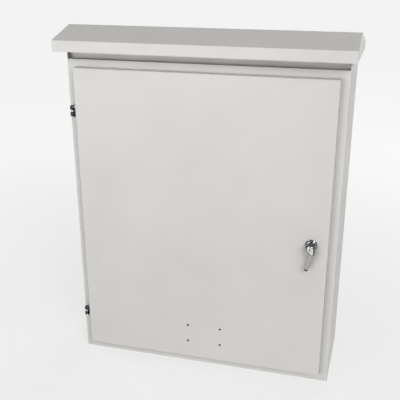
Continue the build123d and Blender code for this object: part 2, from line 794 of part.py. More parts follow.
# Main switch on the upper rail, with one wide toggle across its poles
main_toggle_width = (main_poles - 1) * module_width
main_switch = switch_body(0, upper_rail_z, main_poles, main_toggle_width)
main_switch.part.label = "main_switch"
export_step(main_switch.part, "parts/main_switch.step")
main_switch_toggle = switch_toggle(0, upper_rail_z, main_toggle_width)
main_switch_toggle.part.label = "main_switch_toggle"
export_step(main_switch_toggle.part, "parts/main_switch_toggle.step")

# Row of single-pole breakers on the lower rail
for number in range(1, breaker_count + 1):
    breaker_x = (number - (breaker_count + 1) / 2) * module_width
    breaker = switch_body(breaker_x, lower_rail_z, 1, toggle_width)
    breaker.part.label = f"breaker_{number}"
    export_step(breaker.part, f"parts/breaker_{number}.step")
    breaker_toggle = switch_toggle(breaker_x, lower_rail_z, toggle_width)
    breaker_toggle.part.label = f"breaker_toggle_{number}"
    export_step(breaker_toggle.part, f"parts/breaker_toggle_{number}.step")

# Neutral and earth bars: each a drilled bar on two feet, with a clamp screw over each wire hole
bar_front_plane = Plane.XZ.offset(-bar_front)
bar_foot_spacing = bar_length - bar_foot_width
for bar, centre_x in (("neutral", -bar_x), ("earth", bar_x)):
    with BuildPart() as terminal_bar:
        with BuildSketch(bar_front_plane):
            with Locations((centre_x, bar_z)):
                Rectangle(bar_length, bar_height)
                with GridLocations(bar_foot_spacing, 0, 2, 1):
                    Circle(bar_screw_radius + thread_gap, mode=Mode.SUBTRACT)
        extrude(amount=-bar_depth)
        with BuildSketch(Plane.XY.offset(bar_z - bar_height / 2)):
            with Locations((centre_x, bar_back - bar_depth / 2)):
                with GridLocations(bar_hole_pitch, 0, bar_holes, 1):
                    Circle(bar_hole_radius)
        extrude(amount=bar_height, mode=Mode.SUBTRACT)
        with BuildSketch(bar_front_plane):
            with Locations((centre_x, bar_z)):
                with GridLocations(bar_hole_pitch, 0, bar_holes, 1):
                    Circle(bar_screw_radius + thread_gap)
        extrude(amount=-bar_screw_length, mode=Mode.SUBTRACT)
    terminal_bar.part.label = f"{bar}_bar"
    export_step(terminal_bar.part, f"parts/{bar}_bar.step")

    with BuildPart() as bar_feet:
        with BuildSketch(plate_front_plane):
            with Locations((centre_x, bar_z)):
                with GridLocations(bar_foot_spacing, 0, 2, 1):
                    Rectangle(bar_foot_width, bar_foot_height)
        extrude(amount=bar_foot_depth)
        with BuildSketch(Plane.XZ.offset(-bar_back)):
            with Locations((centre_x, bar_z)):
                with GridLocations(bar_foot_spacing, 0, 2, 1):
                    Circle(bar_screw_radius + thread_gap)
        extrude(amount=-bar_fixing_depth, mode=Mode.SUBTRACT)
    bar_feet.part.label = f"{bar}_bar_feet"
    export_step(bar_feet.part, f"parts/{bar}_bar_feet.step")

    with BuildPart() as bar_screws:
        with BuildSketch(bar_front_plane):
            with Locations((centre_x, bar_z)):
                with GridLocations(bar_foot_spacing, 0, 2, 1):
                    Circle(bar_screw_head_radius)
                with GridLocations(bar_hole_pitch, 0, bar_holes, 1):
                    Circle(bar_screw_head_radius)
        extrude(amount=bar_screw_head)
        with BuildSketch(bar_front_plane):
            with Locations((centre_x, bar_z)):
                with GridLocations(bar_foot_spacing, 0, 2, 1):
                    Circle(bar_screw_radius)
        extrude(amount=seat_gap - bar_depth - bar_fixing_depth)
        with BuildSketch(bar_front_plane):
            with Locations((centre_x, bar_z)):
                with GridLocations(bar_hole_pitch, 0, bar_holes, 1):
                    Circle(bar_screw_radius)
        extrude(amount=-bar_screw_length)
    bar_screws.part.label = f"{bar}_bar_screws"
    export_step(bar_screws.part, f"parts/{bar}_bar_screws.step")

# Earth studs: one welded inside the cabinet's left wall, one inside the door
body_earth_plane = Plane(
    (sheet - side, body_earth_y, earth_stud_z), x_dir=(0, 1, 0), z_dir=(1, 0, 0)
)
door_earth_plane = Plane(
    (door_left + door_earth_inset, door_inside, earth_stud_z),
    x_dir=(1, 0, 0),
    z_dir=(0, 1, 0),
)
for carrier, stud_plane in (("body", body_earth_plane), ("door", door_earth_plane)):
    with BuildPart() as earth_stud:
        with BuildSketch(stud_plane):
            Circle(earth_stud_radius)
        extrude(amount=earth_stud_length)
    earth_stud.part.label = f"{carrier}_earth_stud"
    export_step(earth_stud.part, f"parts/{carrier}_earth_stud.step")

    with BuildPart() as earth_nut:
        with BuildSketch(stud_plane):
            Circle(earth_washer_radius)
        extrude(amount=earth_washer)
        with BuildSketch(stud_plane):
            RegularPolygon(earth_nut_flats / 2, 6, major_radius=False)
        extrude(amount=earth_washer + earth_nut_height)
        with BuildSketch(stud_plane):
            Circle(earth_stud_radius + thread_gap)
        extrude(amount=earth_washer + earth_nut_height, mode=Mode.SUBTRACT)
    earth_nut.part.label = f"{carrier}_earth_nut"
    export_step(earth_nut.part, f"parts/{carrier}_earth_nut.step")

# Cable entry: a gasket and a gland plate over the opening in the bottom, with blind grommets
with BuildPart() as gland_gasket:
    with BuildSketch(Plane((0, entry_y, sheet))):
        Rectangle(gland_width, gland_depth)
        Rectangle(entry_width, entry_depth, mode=Mode.SUBTRACT)
        with GridLocations(gland_screw_x, gland_screw_y, 2, 2):
            Circle(gland_screw_radius + thread_gap, mode=Mode.SUBTRACT)
    extrude(amount=gland_gasket_thickness)
gland_gasket.part.label = "gland_gasket"
export_step(gland_gasket.part, "parts/gland_gasket.step")

with BuildPart() as gland_plate:
    with BuildSketch(Plane((0, entry_y, gland_bottom))):
        Rectangle(gland_width, gland_depth)
        with GridLocations(gland_screw_x, gland_screw_y, 2, 2):
            Circle(gland_screw_radius + thread_gap, mode=Mode.SUBTRACT)
        with GridLocations(grommet_pitch, 0, grommet_count, 1):
            Circle(grommet_hole_radius, mode=Mode.SUBTRACT)
    extrude(amount=gland_sheet)
gland_plate.part.label = "gland_plate"
export_step(gland_plate.part, "parts/gland_plate.step")

with BuildPart() as gland_screws:
    with BuildSketch(Plane((0, entry_y, gland_top))):
        with GridLocations(gland_screw_x, gland_screw_y, 2, 2):
            Circle(gland_screw_head_radius)
    extrude(amount=gland_screw_head)
    with BuildSketch(Plane((0, entry_y, gland_top))):
        with GridLocations(gland_screw_x, gland_screw_y, 2, 2):
            Circle(gland_screw_radius)
    extrude(amount=seat_gap - gland_top)
gland_screws.part.label = "gland_screws"
export_step(gland_screws.part, "parts/gland_screws.step")

neck_radius = grommet_hole_radius - seat_gap
flange_radius = grommet_hole_radius + grommet_flange
inner_radius = neck_radius - grommet_wall
flange_top = gland_top + grommet_lip
dome_top = gland_top + grommet_rise
dome_radius = grommet_hole_radius * grommet_top_share
grommet_profile = (
    (0, dome_top),
    (dome_radius, dome_top),
    (neck_radius, flange_top),
    (flange_radius, flange_top),
    (flange_radius, gland_top),
    (neck_radius, gland_top),
    (neck_radius, gland_bottom),
    (flange_radius, gland_bottom),
    (flange_radius, gland_bottom - grommet_lip),
    (inner_radius, gland_bottom - grommet_lip),
    (inner_radius, flange_top - grommet_wall),
    (dome_radius - grommet_wall, dome_top - grommet_wall),
    (0, dome_top - grommet_wall),
)
for number in range(1, grommet_count + 1):
    grommet_x = (number - (grommet_count + 1) / 2) * grommet_pitch
    grommet_plane = Plane((grommet_x, entry_y, 0), x_dir=(1, 0, 0), z_dir=(0, -1, 0))
    with BuildPart() as cable_grommet:
        with BuildSketch(grommet_plane):
            with BuildLine():
                Polyline(*grommet_profile, close=True)
            make_face()
        revolve(axis=Axis((grommet_x, entry_y, 0), (0, 0, 1)))
    cable_grommet.part.label = f"cable_grommet_{number}"
    export_step(cable_grommet.part, f"parts/cable_grommet_{number}.step")
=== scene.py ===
"""Finishes, fittings and studio for an outdoor electrical distribution box.

The packed CAD part is loaded as a fixed frame. Its sheet metal, bars and cases keep their solids and
get procedural finishes. Hinges, lock, most fasteners and seals are modelled here as rounded, turned and
cut pieces that stand for the plain solids. Lengths are in metres: X to the right, Y to the back, Z up.
"""

import math
from functools import partial

import bmesh
import bpy
from bpy.props import FloatProperty, FloatVectorProperty, PointerProperty
from mathutils import Matrix, Vector


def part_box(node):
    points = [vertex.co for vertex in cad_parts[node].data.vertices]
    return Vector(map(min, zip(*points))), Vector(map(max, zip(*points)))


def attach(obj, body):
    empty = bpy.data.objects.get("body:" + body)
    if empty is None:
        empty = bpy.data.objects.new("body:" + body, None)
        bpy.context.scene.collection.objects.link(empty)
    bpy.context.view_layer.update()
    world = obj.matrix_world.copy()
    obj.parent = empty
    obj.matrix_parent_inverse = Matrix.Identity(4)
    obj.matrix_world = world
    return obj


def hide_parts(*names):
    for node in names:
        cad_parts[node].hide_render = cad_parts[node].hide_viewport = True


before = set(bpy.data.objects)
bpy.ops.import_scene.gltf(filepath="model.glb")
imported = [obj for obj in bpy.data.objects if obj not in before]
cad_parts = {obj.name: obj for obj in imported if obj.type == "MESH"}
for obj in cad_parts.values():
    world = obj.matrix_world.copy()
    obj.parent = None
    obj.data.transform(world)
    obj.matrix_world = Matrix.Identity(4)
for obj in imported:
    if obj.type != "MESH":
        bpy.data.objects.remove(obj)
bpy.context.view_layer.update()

bl_info = {
    "name": "Distribution box looks",
    "version": (1, 0, 0),
    "blender": (4, 5, 0),
    "location": "3D View > Sidebar > Distribution box",
    "description": "Finishes, fittings and studio for an outdoor electrical distribution box",
    "category": "Object",
}

FACE_FRONT = Matrix.Rotation(math.pi / 2, 4, "X")
FACE_BACK = Matrix.Rotation(-math.pi / 2, 4, "X")
FACE_RIGHT = Matrix.Rotation(math.pi / 2, 4, "Y")
BREAKERS = range(1, 7)
GROMMETS = range(1, 4)
SHARP_ANGLE = math.radians(32)
MERGE = 1e-6
ROUND_STEPS = 40
SCREW_STEPS = 28
CUT_STEPS = 48
HEAD_STEPS = 96
HEAD_SEGMENTS = 7
ROSE_STEPS = 64
DOME_STEPS = 6
GROMMET_STEPS = 48
TIERS = 3
KNUCKLE_SEGMENTS = 6
LEVER_STEPS = 4
LEVER_ARC = range(75, 0, -15)
FINE_EDGE = 0.0003
# Shares of a piece's own sizes
SLOT_FLOOR = 0.45
HEAD_RIM = 0.12
ROSE_EDGE = 0.3
DOME_FOOT = 0.4
KEY_BORE = 0.9
FACET = 0.8
RIDGE_FALL = 0.6
TIER_TAPER = 0.3
LIP_ROUND = 0.4
# Shares of the plain slot and of the plate studs' thread
CROSS_SLOT = 1.2
CAM_SLOT = 1.5
EARTH_THREAD = 0.8
# How far the roughness of plastic and of the powder coat strays
PLASTIC_STRAY = 0.06
COAT_STRAY = (-0.05, 0.06)
WHITE = (1.0, 1.0, 1.0)
BLACK = (0.0, 0.0, 0.0)
SPECK = (0.965, 0.965, 0.965)


def length(name, description, default):
    """A property for a length, in metres."""
    return FloatProperty(name=name, description=description, default=default, unit="LENGTH", precision=5)


def colour(name, description, default):
    """A property for a colour, linear."""
    return FloatVectorProperty(
        name=name, description=description, default=default, subtype="COLOR", size=3, min=0.0, max=1.0
    )


def factor(name, description, default):
    """A property for a share from 0 to 1."""
    return FloatProperty(
        name=name, description=description, default=default, subtype="FACTOR", min=0.0, max=1.0
    )


def point(name, description, default):
    """A property for a place or a spacing, in metres."""
    return FloatVectorProperty(
        name=name, description=description, default=default, subtype="XYZ", unit="LENGTH", precision=5
    )


def power(name, description, default):
    """A property for a lamp's power, in watts."""
    return FloatProperty(name=name, description=description, default=default, unit="POWER")


class PaintSettings(bpy.types.PropertyGroup):
    """Powder coat of the cabinet, hood and door"""

    coat: colour("Coat", "Colour of the powder coat", (0.625, 0.612, 0.594))
    mottle: factor("Mottle", "How far the coat's colour wanders", 0.03)
    roughness: factor("Roughness", "Roughness of the coat", 0.40)
    peel: length("Orange peel", "Depth of the coat's ripple", 0.00008)
    # Painted shade: a near-black ring on the coat round each of the door's drilled holes, so that the holes
    # look darker and wider
    painted_hole_shade: colour("Hole shade", "Painted shade ring of the door's drilled holes", (0.05, 0.05, 0.05))
    painted_hole_shade_width: length("Burr width", "How far the painted shade ring reaches round a hole", 0.0006)
    hole: length("Hole", "Radius of the door's drilled holes", 0.0019)
    hole_centre: point("Hole centre", "Middle of the four holes", (0.008, 0.0, 0.072))
    hole_spacing: point("Hole spacing", "Spacing of the four holes", (0.065, 0.0, 0.035))


class MetalSettings(bpy.types.PropertyGroup):
    """Plated and bare metals"""

    chrome: colour("Chrome", "Bright plating of the lock", (0.72, 0.72, 0.72))
    hinge: colour("Hinge", "Black chrome of the hinges", (0.06, 0.06, 0.06))
    # Near black: partly the head's dark plating, and partly painted shade and dark reflection round the
    # bright face
    rim: colour("Rim", "Black chrome round the lock's bright face", (0.08, 0.08, 0.08))
    # Toned down from the bright chrome: partly darker plating, and partly painted dark reflection on the
    # rose's dome
    rose: colour("Rose", "Dark chrome of the lock's rose", (0.24, 0.24, 0.24))
    lever: colour("Lever", "Satin casting of the lock's lever", (0.40, 0.395, 0.39))
    zinc: colour("Zinc", "Zinc plated sheet", (0.56, 0.57, 0.57))
    fastener: colour("Fastener", "Zinc plated screws and nuts", (0.60, 0.60, 0.57))
    bloom: colour("Bloom", "Yellow bloom on the zinc of screws and nuts", (0.62, 0.60, 0.52))
    brass: colour("Brass", "Terminal bars", (0.68, 0.50, 0.24))


class PlasticSettings(bpy.types.PropertyGroup):
    """Moulded plastic and rubber"""

    case: colour("Case", "Cases of the switches", (0.66, 0.66, 0.64))
    toggle: colour("Toggle", "Switch toggles and the handle's tip", (0.022, 0.022, 0.024))
    rubber: colour("Rubber", "Seal, gasket and grommets", (0.03, 0.03, 0.03))
    neutral: colour("Neutral", "Feet of the neutral bar", (0.05, 0.16, 0.42))
    earth: colour("Earth", "Feet of the earth bar", (0.10, 0.34, 0.13))
    label: colour("Label", "Blank label strips", (0.80, 0.80, 0.78))


class HingeSettings(bpy.types.PropertyGroup):
    """Knuckles of both hinges"""

    rounding: length("Rounding", "Rounding at the ends of a knuckle", 0.0042)
    foot: length("Foot", "Width of the foot behind a knuckle", 0.008)
    arm: length("Arm", "Thickness of the arm to the door", 0.004)


class LockSettings(bpy.types.PropertyGroup):
    """Handle and rose of the lock"""

    lean: FloatProperty(
        name="Lean", description="How far the lever is cranked off plumb", subtype="ANGLE",
        default=math.radians(16.3),
    )
    head: length("Head", "Radius of the handle's head", 0.0078)
    lobe: length("Lobe", "Radius of the head's narrow end", 0.0048)
    shift: length("Shift", "Axis to the head's narrow end, to the right", 0.0036)
    drop: length("Drop", "Axis to the head's narrow end, downwards", 0.0082)
    rounding: length("Rounding", "Rounding of the head's front edge", 0.0024)
    rim: length("Rim", "Width of the dark rim round the bright face", 0.002)
    inlay: length("Inlay", "Thickness of the bright face", 0.001)
    setback: length("Setback", "Front of the head to the front of the lever", 0.003)
    thickness: length("Thickness", "Thickness of the lever", 0.0065)
    root: length("Root", "Half width of the lever at the head", 0.0059)
    end: length("End", "Half width of the lever at its tip", 0.0037)
    root_shift: length("Root shift", "Axis to the lever's wide end, to the right", 0.0044)
    root_drop: length("Root drop", "Axis to the lever's wide end, downwards", 0.010)
    reach: length("Reach", "The lever's wide end to its dark tip", 0.0317)
    ridge: length("Ridge", "Height of the ridge along the lever", 0.0012)
    spindle: length("Spindle", "Radius of the spindle", 0.005)
    square: length("Square", "Width of the spindle's square end", 0.007)
    spindle_end: length("Spindle end", "Rose to the spindle's front end", 0.001)
    sleeve: length("Sleeve", "Radius of the sleeve through the door", 0.009)
    play: length("Play", "Gap round what turns in the lock", 0.00005)
    brim: length("Brim", "Width of the step round the rose's dome", 0.0008)
    dome: length("Dome", "How far the side of the rose's dome leans in", 0.0032)
    gap: length("Gap", "Rose to the boss behind the head", 0.0003)
    boss_rounding: length("Boss rounding", "Rounding of the boss behind the head", 0.0006)
    shoulder: length("Shoulder", "Front of the lever to its flat sides", 0.0022)
    corner: length("Corner", "Front of the lever to the foot of its facets", 0.0006)


class FastenerSettings(bpy.types.PropertyGroup):
    """Screws, studs and nuts"""

    pitch: length("Thread pitch", "Pitch of the studs' threads", 0.00125)
    thread_depth: length("Thread depth", "Depth of the studs' threads", 0.0005)
    slot: length("Slot", "Width of a screw's slot", 0.0009)
    chamfer: length("Chamfer", "Bevel on nuts and heads", 0.0006)


class SealSettings(bpy.types.PropertyGroup):
    """Foam seal, gasket and grommets"""

    seal: length("Seal", "Width of the door's seal", 0.009)
    bead: length("Bead", "Rounding of the seal's bead", 0.0018)
    gasket: length("Gasket", "Width of the gasket round the cable entry", 0.014)
    neck: length("Neck", "Radius of a grommet's neck", 0.01795)
    skin: length("Skin", "Thickness of a grommet's skin", 0.0022)
    lip: length("Lip", "Thickness of a grommet's flanges", 0.0016)


class StageSettings(bpy.types.PropertyGroup):
    """Camera, floor and lamps"""

    location: point("Camera", "Where the camera stands", (0.31374, -1.18469, 0.75408))
    turn: FloatVectorProperty(
        name="Camera turn", description="How the camera is turned", subtype="EULER",
        default=(math.radians(68.1833), math.radians(-0.1673), math.radians(15.384)),
    )
    lens: FloatProperty(name="Lens", description="Focal length in millimetres", default=59.8089)
    shift: FloatVectorProperty(
        name="Shift", description="Shift of the lens", size=2, default=(-0.02, 0.065), precision=4
    )
    floor: colour("Floor", "Pale floor and backdrop", (0.80, 0.80, 0.80))
    paper: colour("Paper", "What the picture keeps of the floor's own shade, by the box", (0.30, 0.30, 0.30))
    glow: factor("Glow", "What lifts the floor to white in the picture, by the box", 0.62)
    far_glow: factor("Far glow", "What lifts the floor and backdrop to white, away from the box", 0.89)
    horizon: factor("Horizon", "Level of the room at the height of the eye", 0.12)
    ceiling: factor("Ceiling", "Level of the room overhead", 0.02)
    beyond: factor("Beyond", "Level of the room in the picture, past the floor", 0.86)
    window: power("Window", "Low window on the left, in front", 22.0)
    left: power("Left", "High lamp on the left, in front", 7.0)
    right: power("Right", "High lamp on the right, in front", 72.0)
    overhead: power("Overhead", "Lamp over the hood", 5.0)
    low: power("Low", "Low lamp on the right, in front", 7.0)
    side: power("Side", "Lamp on the left, behind the front", 10.0)
    behind: power("Behind", "Lamp behind the box", 26.0)


SETTINGS = {
    "box_paint": PaintSettings,
    "box_metal": MetalSettings,
    "box_plastic": PlasticSettings,
    "box_hinges": HingeSettings,
    "box_lock": LockSettings,
    "box_fasteners": FastenerSettings,
    "box_seals": SealSettings,
    "box_stage": StageSettings,
}
LAMPS = (
    ("window", (-1.0, -2.7, 0.42), (1.35, 0.7)),
    ("left", (-1.3, -1.9, 1.6), (0.9, 0.6)),
    ("right", (2.0, -3.0, 2.3), (1.4, 0.9)),
    ("overhead", (0.0, -0.6, 2.2), (1.2, 0.8)),
    ("low", (2.1, -1.2, 1.1), (0.5, 0.5)),
    ("side", (-2.2, 0.6, 1.2), (1.0, 1.0)),
    ("behind", (0.5, 2.5, 0.9), (1.2, 0.8)),
)
LAMP_AIM = Vector((0.0, 0.0, 0.34))
FLOOR_HALF_WIDTH = 9.0
FLOOR_LEVEL = -0.0005
FLOOR_FRONT = -9.0
WALL_BACK = 3.4
WALL_TOP = 6.0
COVE = 1.6
COVE_STEPS = 24
PAPER_ROUGHNESS = 0.9
GLOW_NEAR = 0.2
GLOW_FAR = 1.6
ROOM_LOW = 0.05
ROOM_HIGH = 0.55
SENSOR_WIDTH = 36.0


class Nodes:
    """A node tree that is built node by node."""

    def __init__(self, tree):
        self.tree = tree

    def node(self, kind, inputs=None, **settings):
        """Adds a node with its settings, values and links."""
        made = self.tree.nodes.new(kind)
        for key, value in settings.items():
            setattr(made, key, value)
        for key, value in (inputs or {}).items():
            if isinstance(value, bpy.types.NodeSocket):
                self.tree.links.new(value, made.inputs[key])
            else:
                made.inputs[key].default_value = value
        return made


class Finish(Nodes):
    """A procedural material that reads the object's own coordinates."""

    def __init__(self, name, metallic=0.0, specular=0.5):
        self.material = bpy.data.materials.new(name)
        self.material.use_nodes = True
        super().__init__(self.material.node_tree)
        self.shader = self.tree.nodes["Principled BSDF"]
        self.shader.inputs["Metallic"].default_value = metallic
        self.shader.inputs["Specular IOR Level"].default_value = specular
        self.place = self.node("ShaderNodeTexCoord").outputs["Object"]
        self.normal = None

    def noise(self, scale, detail, stretch=None):
        """Smooth noise from 0 to 1, drawn out along an axis by stretch."""
        place = self.place
        if stretch:
            place = self.node("ShaderNodeMapping", {"Vector": place, "Scale": stretch}).outputs["Vector"]
        inputs = {"Vector": place, "Scale": scale, "Detail": detail}
        return self.node("ShaderNodeTexNoise", inputs).outputs["Fac"]

    def cells(self, scale, output="Distance"):
        """Cells as in spangle or pits."""
        return self.node("ShaderNodeTexVoronoi", {"Vector": self.place, "Scale": scale}).outputs[output]

    def spread(self, value, low=0.0, high=1.0, start=0.3, end=0.7):
        """Maps a pattern from start..end to low..high."""
        inputs = {"Value": value, "From Min": start, "From Max": end, "To Min": low, "To Max": high}
        return self.node("ShaderNodeMapRange", inputs).outputs["Result"]

    def blend(self, share, first, second):
        """Mixes two colours by a pattern."""
        inputs = {0: share, 6: rgba(first), 7: rgba(second)}
        return self.node("ShaderNodeMix", inputs, data_type="RGBA").outputs[2]

    def tint(self, first, second):
        """Multiplies one pattern of colours by another."""
        inputs = {0: 1.0, 6: first, 7: second}
        return self.node("ShaderNodeMix", inputs, data_type="RGBA", blend_type="MULTIPLY").outputs[2]

    def vector(self, operation, first, second=(0.0, 0.0, 0.0), output="Vector"):
        """One step of vector arithmetic."""
        return self.node("ShaderNodeVectorMath", {0: first, 1: second}, operation=operation).outputs[output]

    def either(self, first, second):
        """The larger of two values."""
        return self.node("ShaderNodeMath", {0: first, 1: second}, operation="MAXIMUM").outputs[0]

    def set(self, socket, value):
        """Sets or links an input of the shader."""
        if isinstance(value, bpy.types.NodeSocket):
            self.tree.links.new(value, self.shader.inputs[socket])
        else:
            self.shader.inputs[socket].default_value = value

    def mottle(self, first, second, scale, detail):
        """Lets the colour wander between two by a noise."""
        self.set("Base Color", self.blend(self.spread(self.noise(scale, detail)), first, second))

    def rough(self, low, high, scale, detail, stretch=None):
        """Lets the roughness wander from low to high by a noise."""
        self.set("Roughness", self.spread(self.noise(scale, detail, stretch), low, high))

    def bump(self, height, distance, strength):
        """Adds relief to what is there already."""
        inputs = {"Height": height, "Distance": distance, "Strength": strength}
        if self.normal:
            inputs["Normal"] = self.normal
        self.normal = self.node("ShaderNodeBump", inputs).outputs["Normal"]
        self.set("Normal", self.normal)


def rgba(value):
    """A colour with its alpha, or a socket as it is."""
    return value if isinstance(value, bpy.types.NodeSocket) else (*value, 1.0)


def shade(value, share):
    """A colour made lighter or darker."""
    return tuple(min(1.0, part * share) for part in value)


def powder_coat(name, settings):
    """Satin powder coat with orange peel and a slight mottle, and its colour."""
    made = Finish(name)
    mottle = made.spread(made.noise(scale=6.0, detail=3.0))
    dark = shade(settings.coat, 1 - settings.mottle)
    light = shade(settings.coat, 1 + settings.mottle)
    wide = made.blend(mottle, dark, light)
    speck = made.spread(made.noise(scale=1400.0, detail=1.0))
    fine = made.blend(speck, SPECK, WHITE)
    tone = made.tint(wide, fine)
    made.set("Base Color", tone)
    smooth, dull = (settings.roughness + stray for stray in COAT_STRAY)
    made.rough(low=smooth, high=dull, scale=24.0, detail=4.0)
    made.bump(made.noise(scale=330.0, detail=1.0), distance=settings.peel, strength=0.35)
    made.bump(made.noise(scale=1500.0, detail=1.0), distance=settings.peel / 4, strength=0.25)
    return made, tone


def make_paint(name):
    """Powder coat of the cabinet and the hood."""
    return powder_coat(name, bpy.context.scene.box_paint)[0].material


def make_door_paint(name):
    """Powder coat of the door, with painted shade as a near-black ring round its four drilled holes."""
    settings = bpy.context.scene.box_paint
    made, tone = powder_coat(name, settings)
    offset = made.vector("SUBTRACT", made.place, settings.hole_centre)
    corner = made.vector("SUBTRACT", made.vector("ABSOLUTE", offset), Vector(settings.hole_spacing) / 2)
    across = made.vector("MULTIPLY", corner, (1.0, 0.0, 1.0))
    distance = made.vector("LENGTH", across, output="Value")
    # Painted shade: the coat turns near black in a thin ring round each of the four holes
    edge = made.spread(distance, 1.0, 0.0, settings.hole, settings.hole + settings.painted_hole_shade_width)
    made.set("Base Color", made.blend(edge, tone, settings.painted_hole_shade))
    return made.material


def make_plating(name, metal, smooth, dull):
    """Bright plating over a casting, with a faint wave and fine wiping marks."""
    tone = getattr(bpy.context.scene.box_metal, metal)
    made = Finish(name, metallic=1.0)
    made.mottle(shade(tone, 0.93), tone, scale=160.0, detail=4.0)
    made.rough(low=smooth, high=dull, scale=420.0, detail=3.0)
    made.bump(made.noise(scale=130.0, detail=1.0), distance=0.00012, strength=0.5)
    return made.material


def make_lever(name):
    """Satin grey casting of the lock's lever."""
    settings = bpy.context.scene.box_metal
    made = Finish(name, metallic=0.85)
    made.mottle(shade(settings.lever, 0.9), shade(settings.lever, 1.08), scale=700.0, detail=4.0)
    made.rough(low=0.30, high=0.42, scale=300.0, detail=3.0)
    made.bump(made.noise(scale=1200.0, detail=2.0), distance=0.00005, strength=0.5)
    return made.material


def make_zinc(name):
    """Zinc plated sheet with spangle and rolling marks."""
    settings = bpy.context.scene.box_metal
    made = Finish(name, metallic=1.0)
    spangle = made.spread(made.cells(95.0, "Color"), 0.0, 1.0, 0.0, 1.0)
    sheet = made.blend(spangle, shade(settings.zinc, 0.86), shade(settings.zinc, 1.1))
    cloud = made.blend(made.spread(made.noise(scale=9.0, detail=4.0)), (0.90, 0.91, 0.93), WHITE)
    made.set("Base Color", made.tint(sheet, cloud))
    made.rough(low=0.30, high=0.48, scale=70.0, detail=4.0, stretch=(1.0, 1.0, 12.0))
    made.bump(made.noise(scale=900.0, detail=2.0, stretch=(1.0, 1.0, 0.04)), distance=0.00003, strength=0.4)
    return made.material


def make_fastener(name):
    """Zinc plated screws and nuts, with a faint yellow bloom."""
    settings = bpy.context.scene.box_metal
    made = Finish(name, metallic=1.0)
    made.mottle(shade(settings.fastener, 0.92), settings.bloom, scale=240.0, detail=2.0)
    made.rough(low=0.29, high=0.42, scale=800.0, detail=3.0)
    made.bump(made.noise(scale=2200.0, detail=2.0), distance=0.00002, strength=0.5)
    return made.material


def make_brass(name):
    """Drawn brass with lengthwise marks and a little tarnish."""
    settings = bpy.context.scene.box_metal
    made = Finish(name, metallic=1.0)
    tarnish = made.spread(made.noise(scale=60.0, detail=4.0), 0.0, 1.0, 0.35, 0.75)
    made.set("Base Color", made.blend(tarnish, settings.brass, shade(settings.brass, 0.72)))
    made.rough(low=0.29, high=0.40, scale=500.0, detail=3.0, stretch=(0.05, 1.0, 1.0))
    made.bump(made.noise(scale=1600.0, detail=2.0, stretch=(0.03, 1.0, 1.0)), distance=0.00002, strength=0.6)
    return made.material


def make_plastic(name, part, roughness, grain=1100.0, depth=0.00003):
    """Moulded plastic with a fine spark-eroded grain."""
    tone = getattr(bpy.context.scene.box_plastic, part)
    made = Finish(name)
    made.mottle(shade(tone, 0.95), shade(tone, 1.05), scale=20.0, detail=3.0)
    made.rough(low=roughness - PLASTIC_STRAY, high=roughness + PLASTIC_STRAY, scale=grain / 3, detail=3.0)
    made.bump(made.noise(scale=grain, detail=2.0), distance=depth, strength=0.6)
    return made.material


def make_rubber(name):
    """Matt rubber with a foam skin."""
    settings = bpy.context.scene.box_plastic
    made = Finish(name, specular=0.3)
    made.mottle(shade(settings.rubber, 0.8), shade(settings.rubber, 1.5), scale=45.0, detail=4.0)
    made.rough(low=0.68, high=0.86, scale=300.0, detail=3.0)
    made.bump(made.cells(900.0), distance=0.00008, strength=0.5)
    return made.material


MAKERS = {
    "cabinet_paint": make_paint,
    "door_paint": make_door_paint,
    "lock_chrome": partial(make_plating, metal="chrome", smooth=0.04, dull=0.11),
    "hinge_plating": partial(make_plating, metal="hinge", smooth=0.10, dull=0.18),
    # Dark rim of the handle's head: partly dark plating, partly painted shade and dark reflection
    "lock_rim": partial(make_plating, metal="rim", smooth=0.06, dull=0.12),
    # Rose: chrome darkened partly as plating and partly as painted dark reflection
    "rose_chrome": partial(make_plating, metal="rose", smooth=0.04, dull=0.10),
    "lever_casting": make_lever,
    "zinc_sheet": make_zinc,
    "zinc_fastener": make_fastener,
    "bar_brass": make_brass,
    "switch_case": partial(make_plastic, part="case", roughness=0.42),
    "dark_plastic": partial(make_plastic, part="toggle", roughness=0.38),
    "seal_rubber": make_rubber,
    "neutral_insulator": partial(make_plastic, part="neutral", roughness=0.45),
    "earth_spacer": partial(make_plastic, part="earth", roughness=0.45),
    "blank_label": partial(make_plastic, part="label", roughness=0.36, grain=600.0, depth=0.00001),
}


def finish(name):
    """The material for a finish, made the first time it is asked for. The frame's own names stay free."""
    label = f"{name}_look"
    return bpy.data.materials.get(label) or MAKERS[name](label)


def coat(name, *nodes):
    """Gives CAD nodes a finish in place of the packed one."""
    for node in nodes:
        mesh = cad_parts[node].data
        mesh.materials.clear()
        mesh.materials.append(finish(name))


def edges_of(verts):
    """Every edge that meets some vertices."""
    return list({edge for vert in verts for edge in vert.link_edges})


def verts_in(geom):
    """The vertices in what an operator gives back."""
    return [part for part in geom if isinstance(part, bmesh.types.BMVert)]


def faces_in(geom):
    """The faces in what an operator gives back."""
    return [part for part in geom if isinstance(part, bmesh.types.BMFace)]


def linked(seeds):
    """All vertices joined to some first ones."""
    found = set(seeds)
    waiting = list(seeds)
    while waiting:
        vert = waiting.pop()
        for edge in vert.link_edges:
            other = edge.other_vert(vert)
            if other not in found:
                found.add(other)
                waiting.append(other)
    return list(found)


def bevel(bm, edges, width, segments=3):
    """Rounds edges by a width."""
    bmesh.ops.bevel(
        bm, geom=edges, offset=width, offset_type="OFFSET", affect="EDGES", segments=segments, profile=0.5,
        material=-1,
    )


def turned(bm, profile, place, steps=ROUND_STEPS):
    """Spins a profile of (radius, height) pairs about a placed axis."""
    verts = [bm.verts.new((radius, 0.0, height)) for radius, height in profile]
    edges = [bm.edges.new(pair) for pair in zip(verts, verts[1:])]
    bmesh.ops.spin(
        bm, geom=verts + edges, cent=(0, 0, 0), axis=(0, 0, 1), dvec=(0, 0, 0), angle=2 * math.pi,
        steps=steps, use_merge=True,
    )
    ring = linked(verts)
    bmesh.ops.remove_doubles(bm, verts=ring, dist=MERGE)
    bmesh.ops.transform(bm, matrix=place, verts=[vert for vert in ring if vert.is_valid])


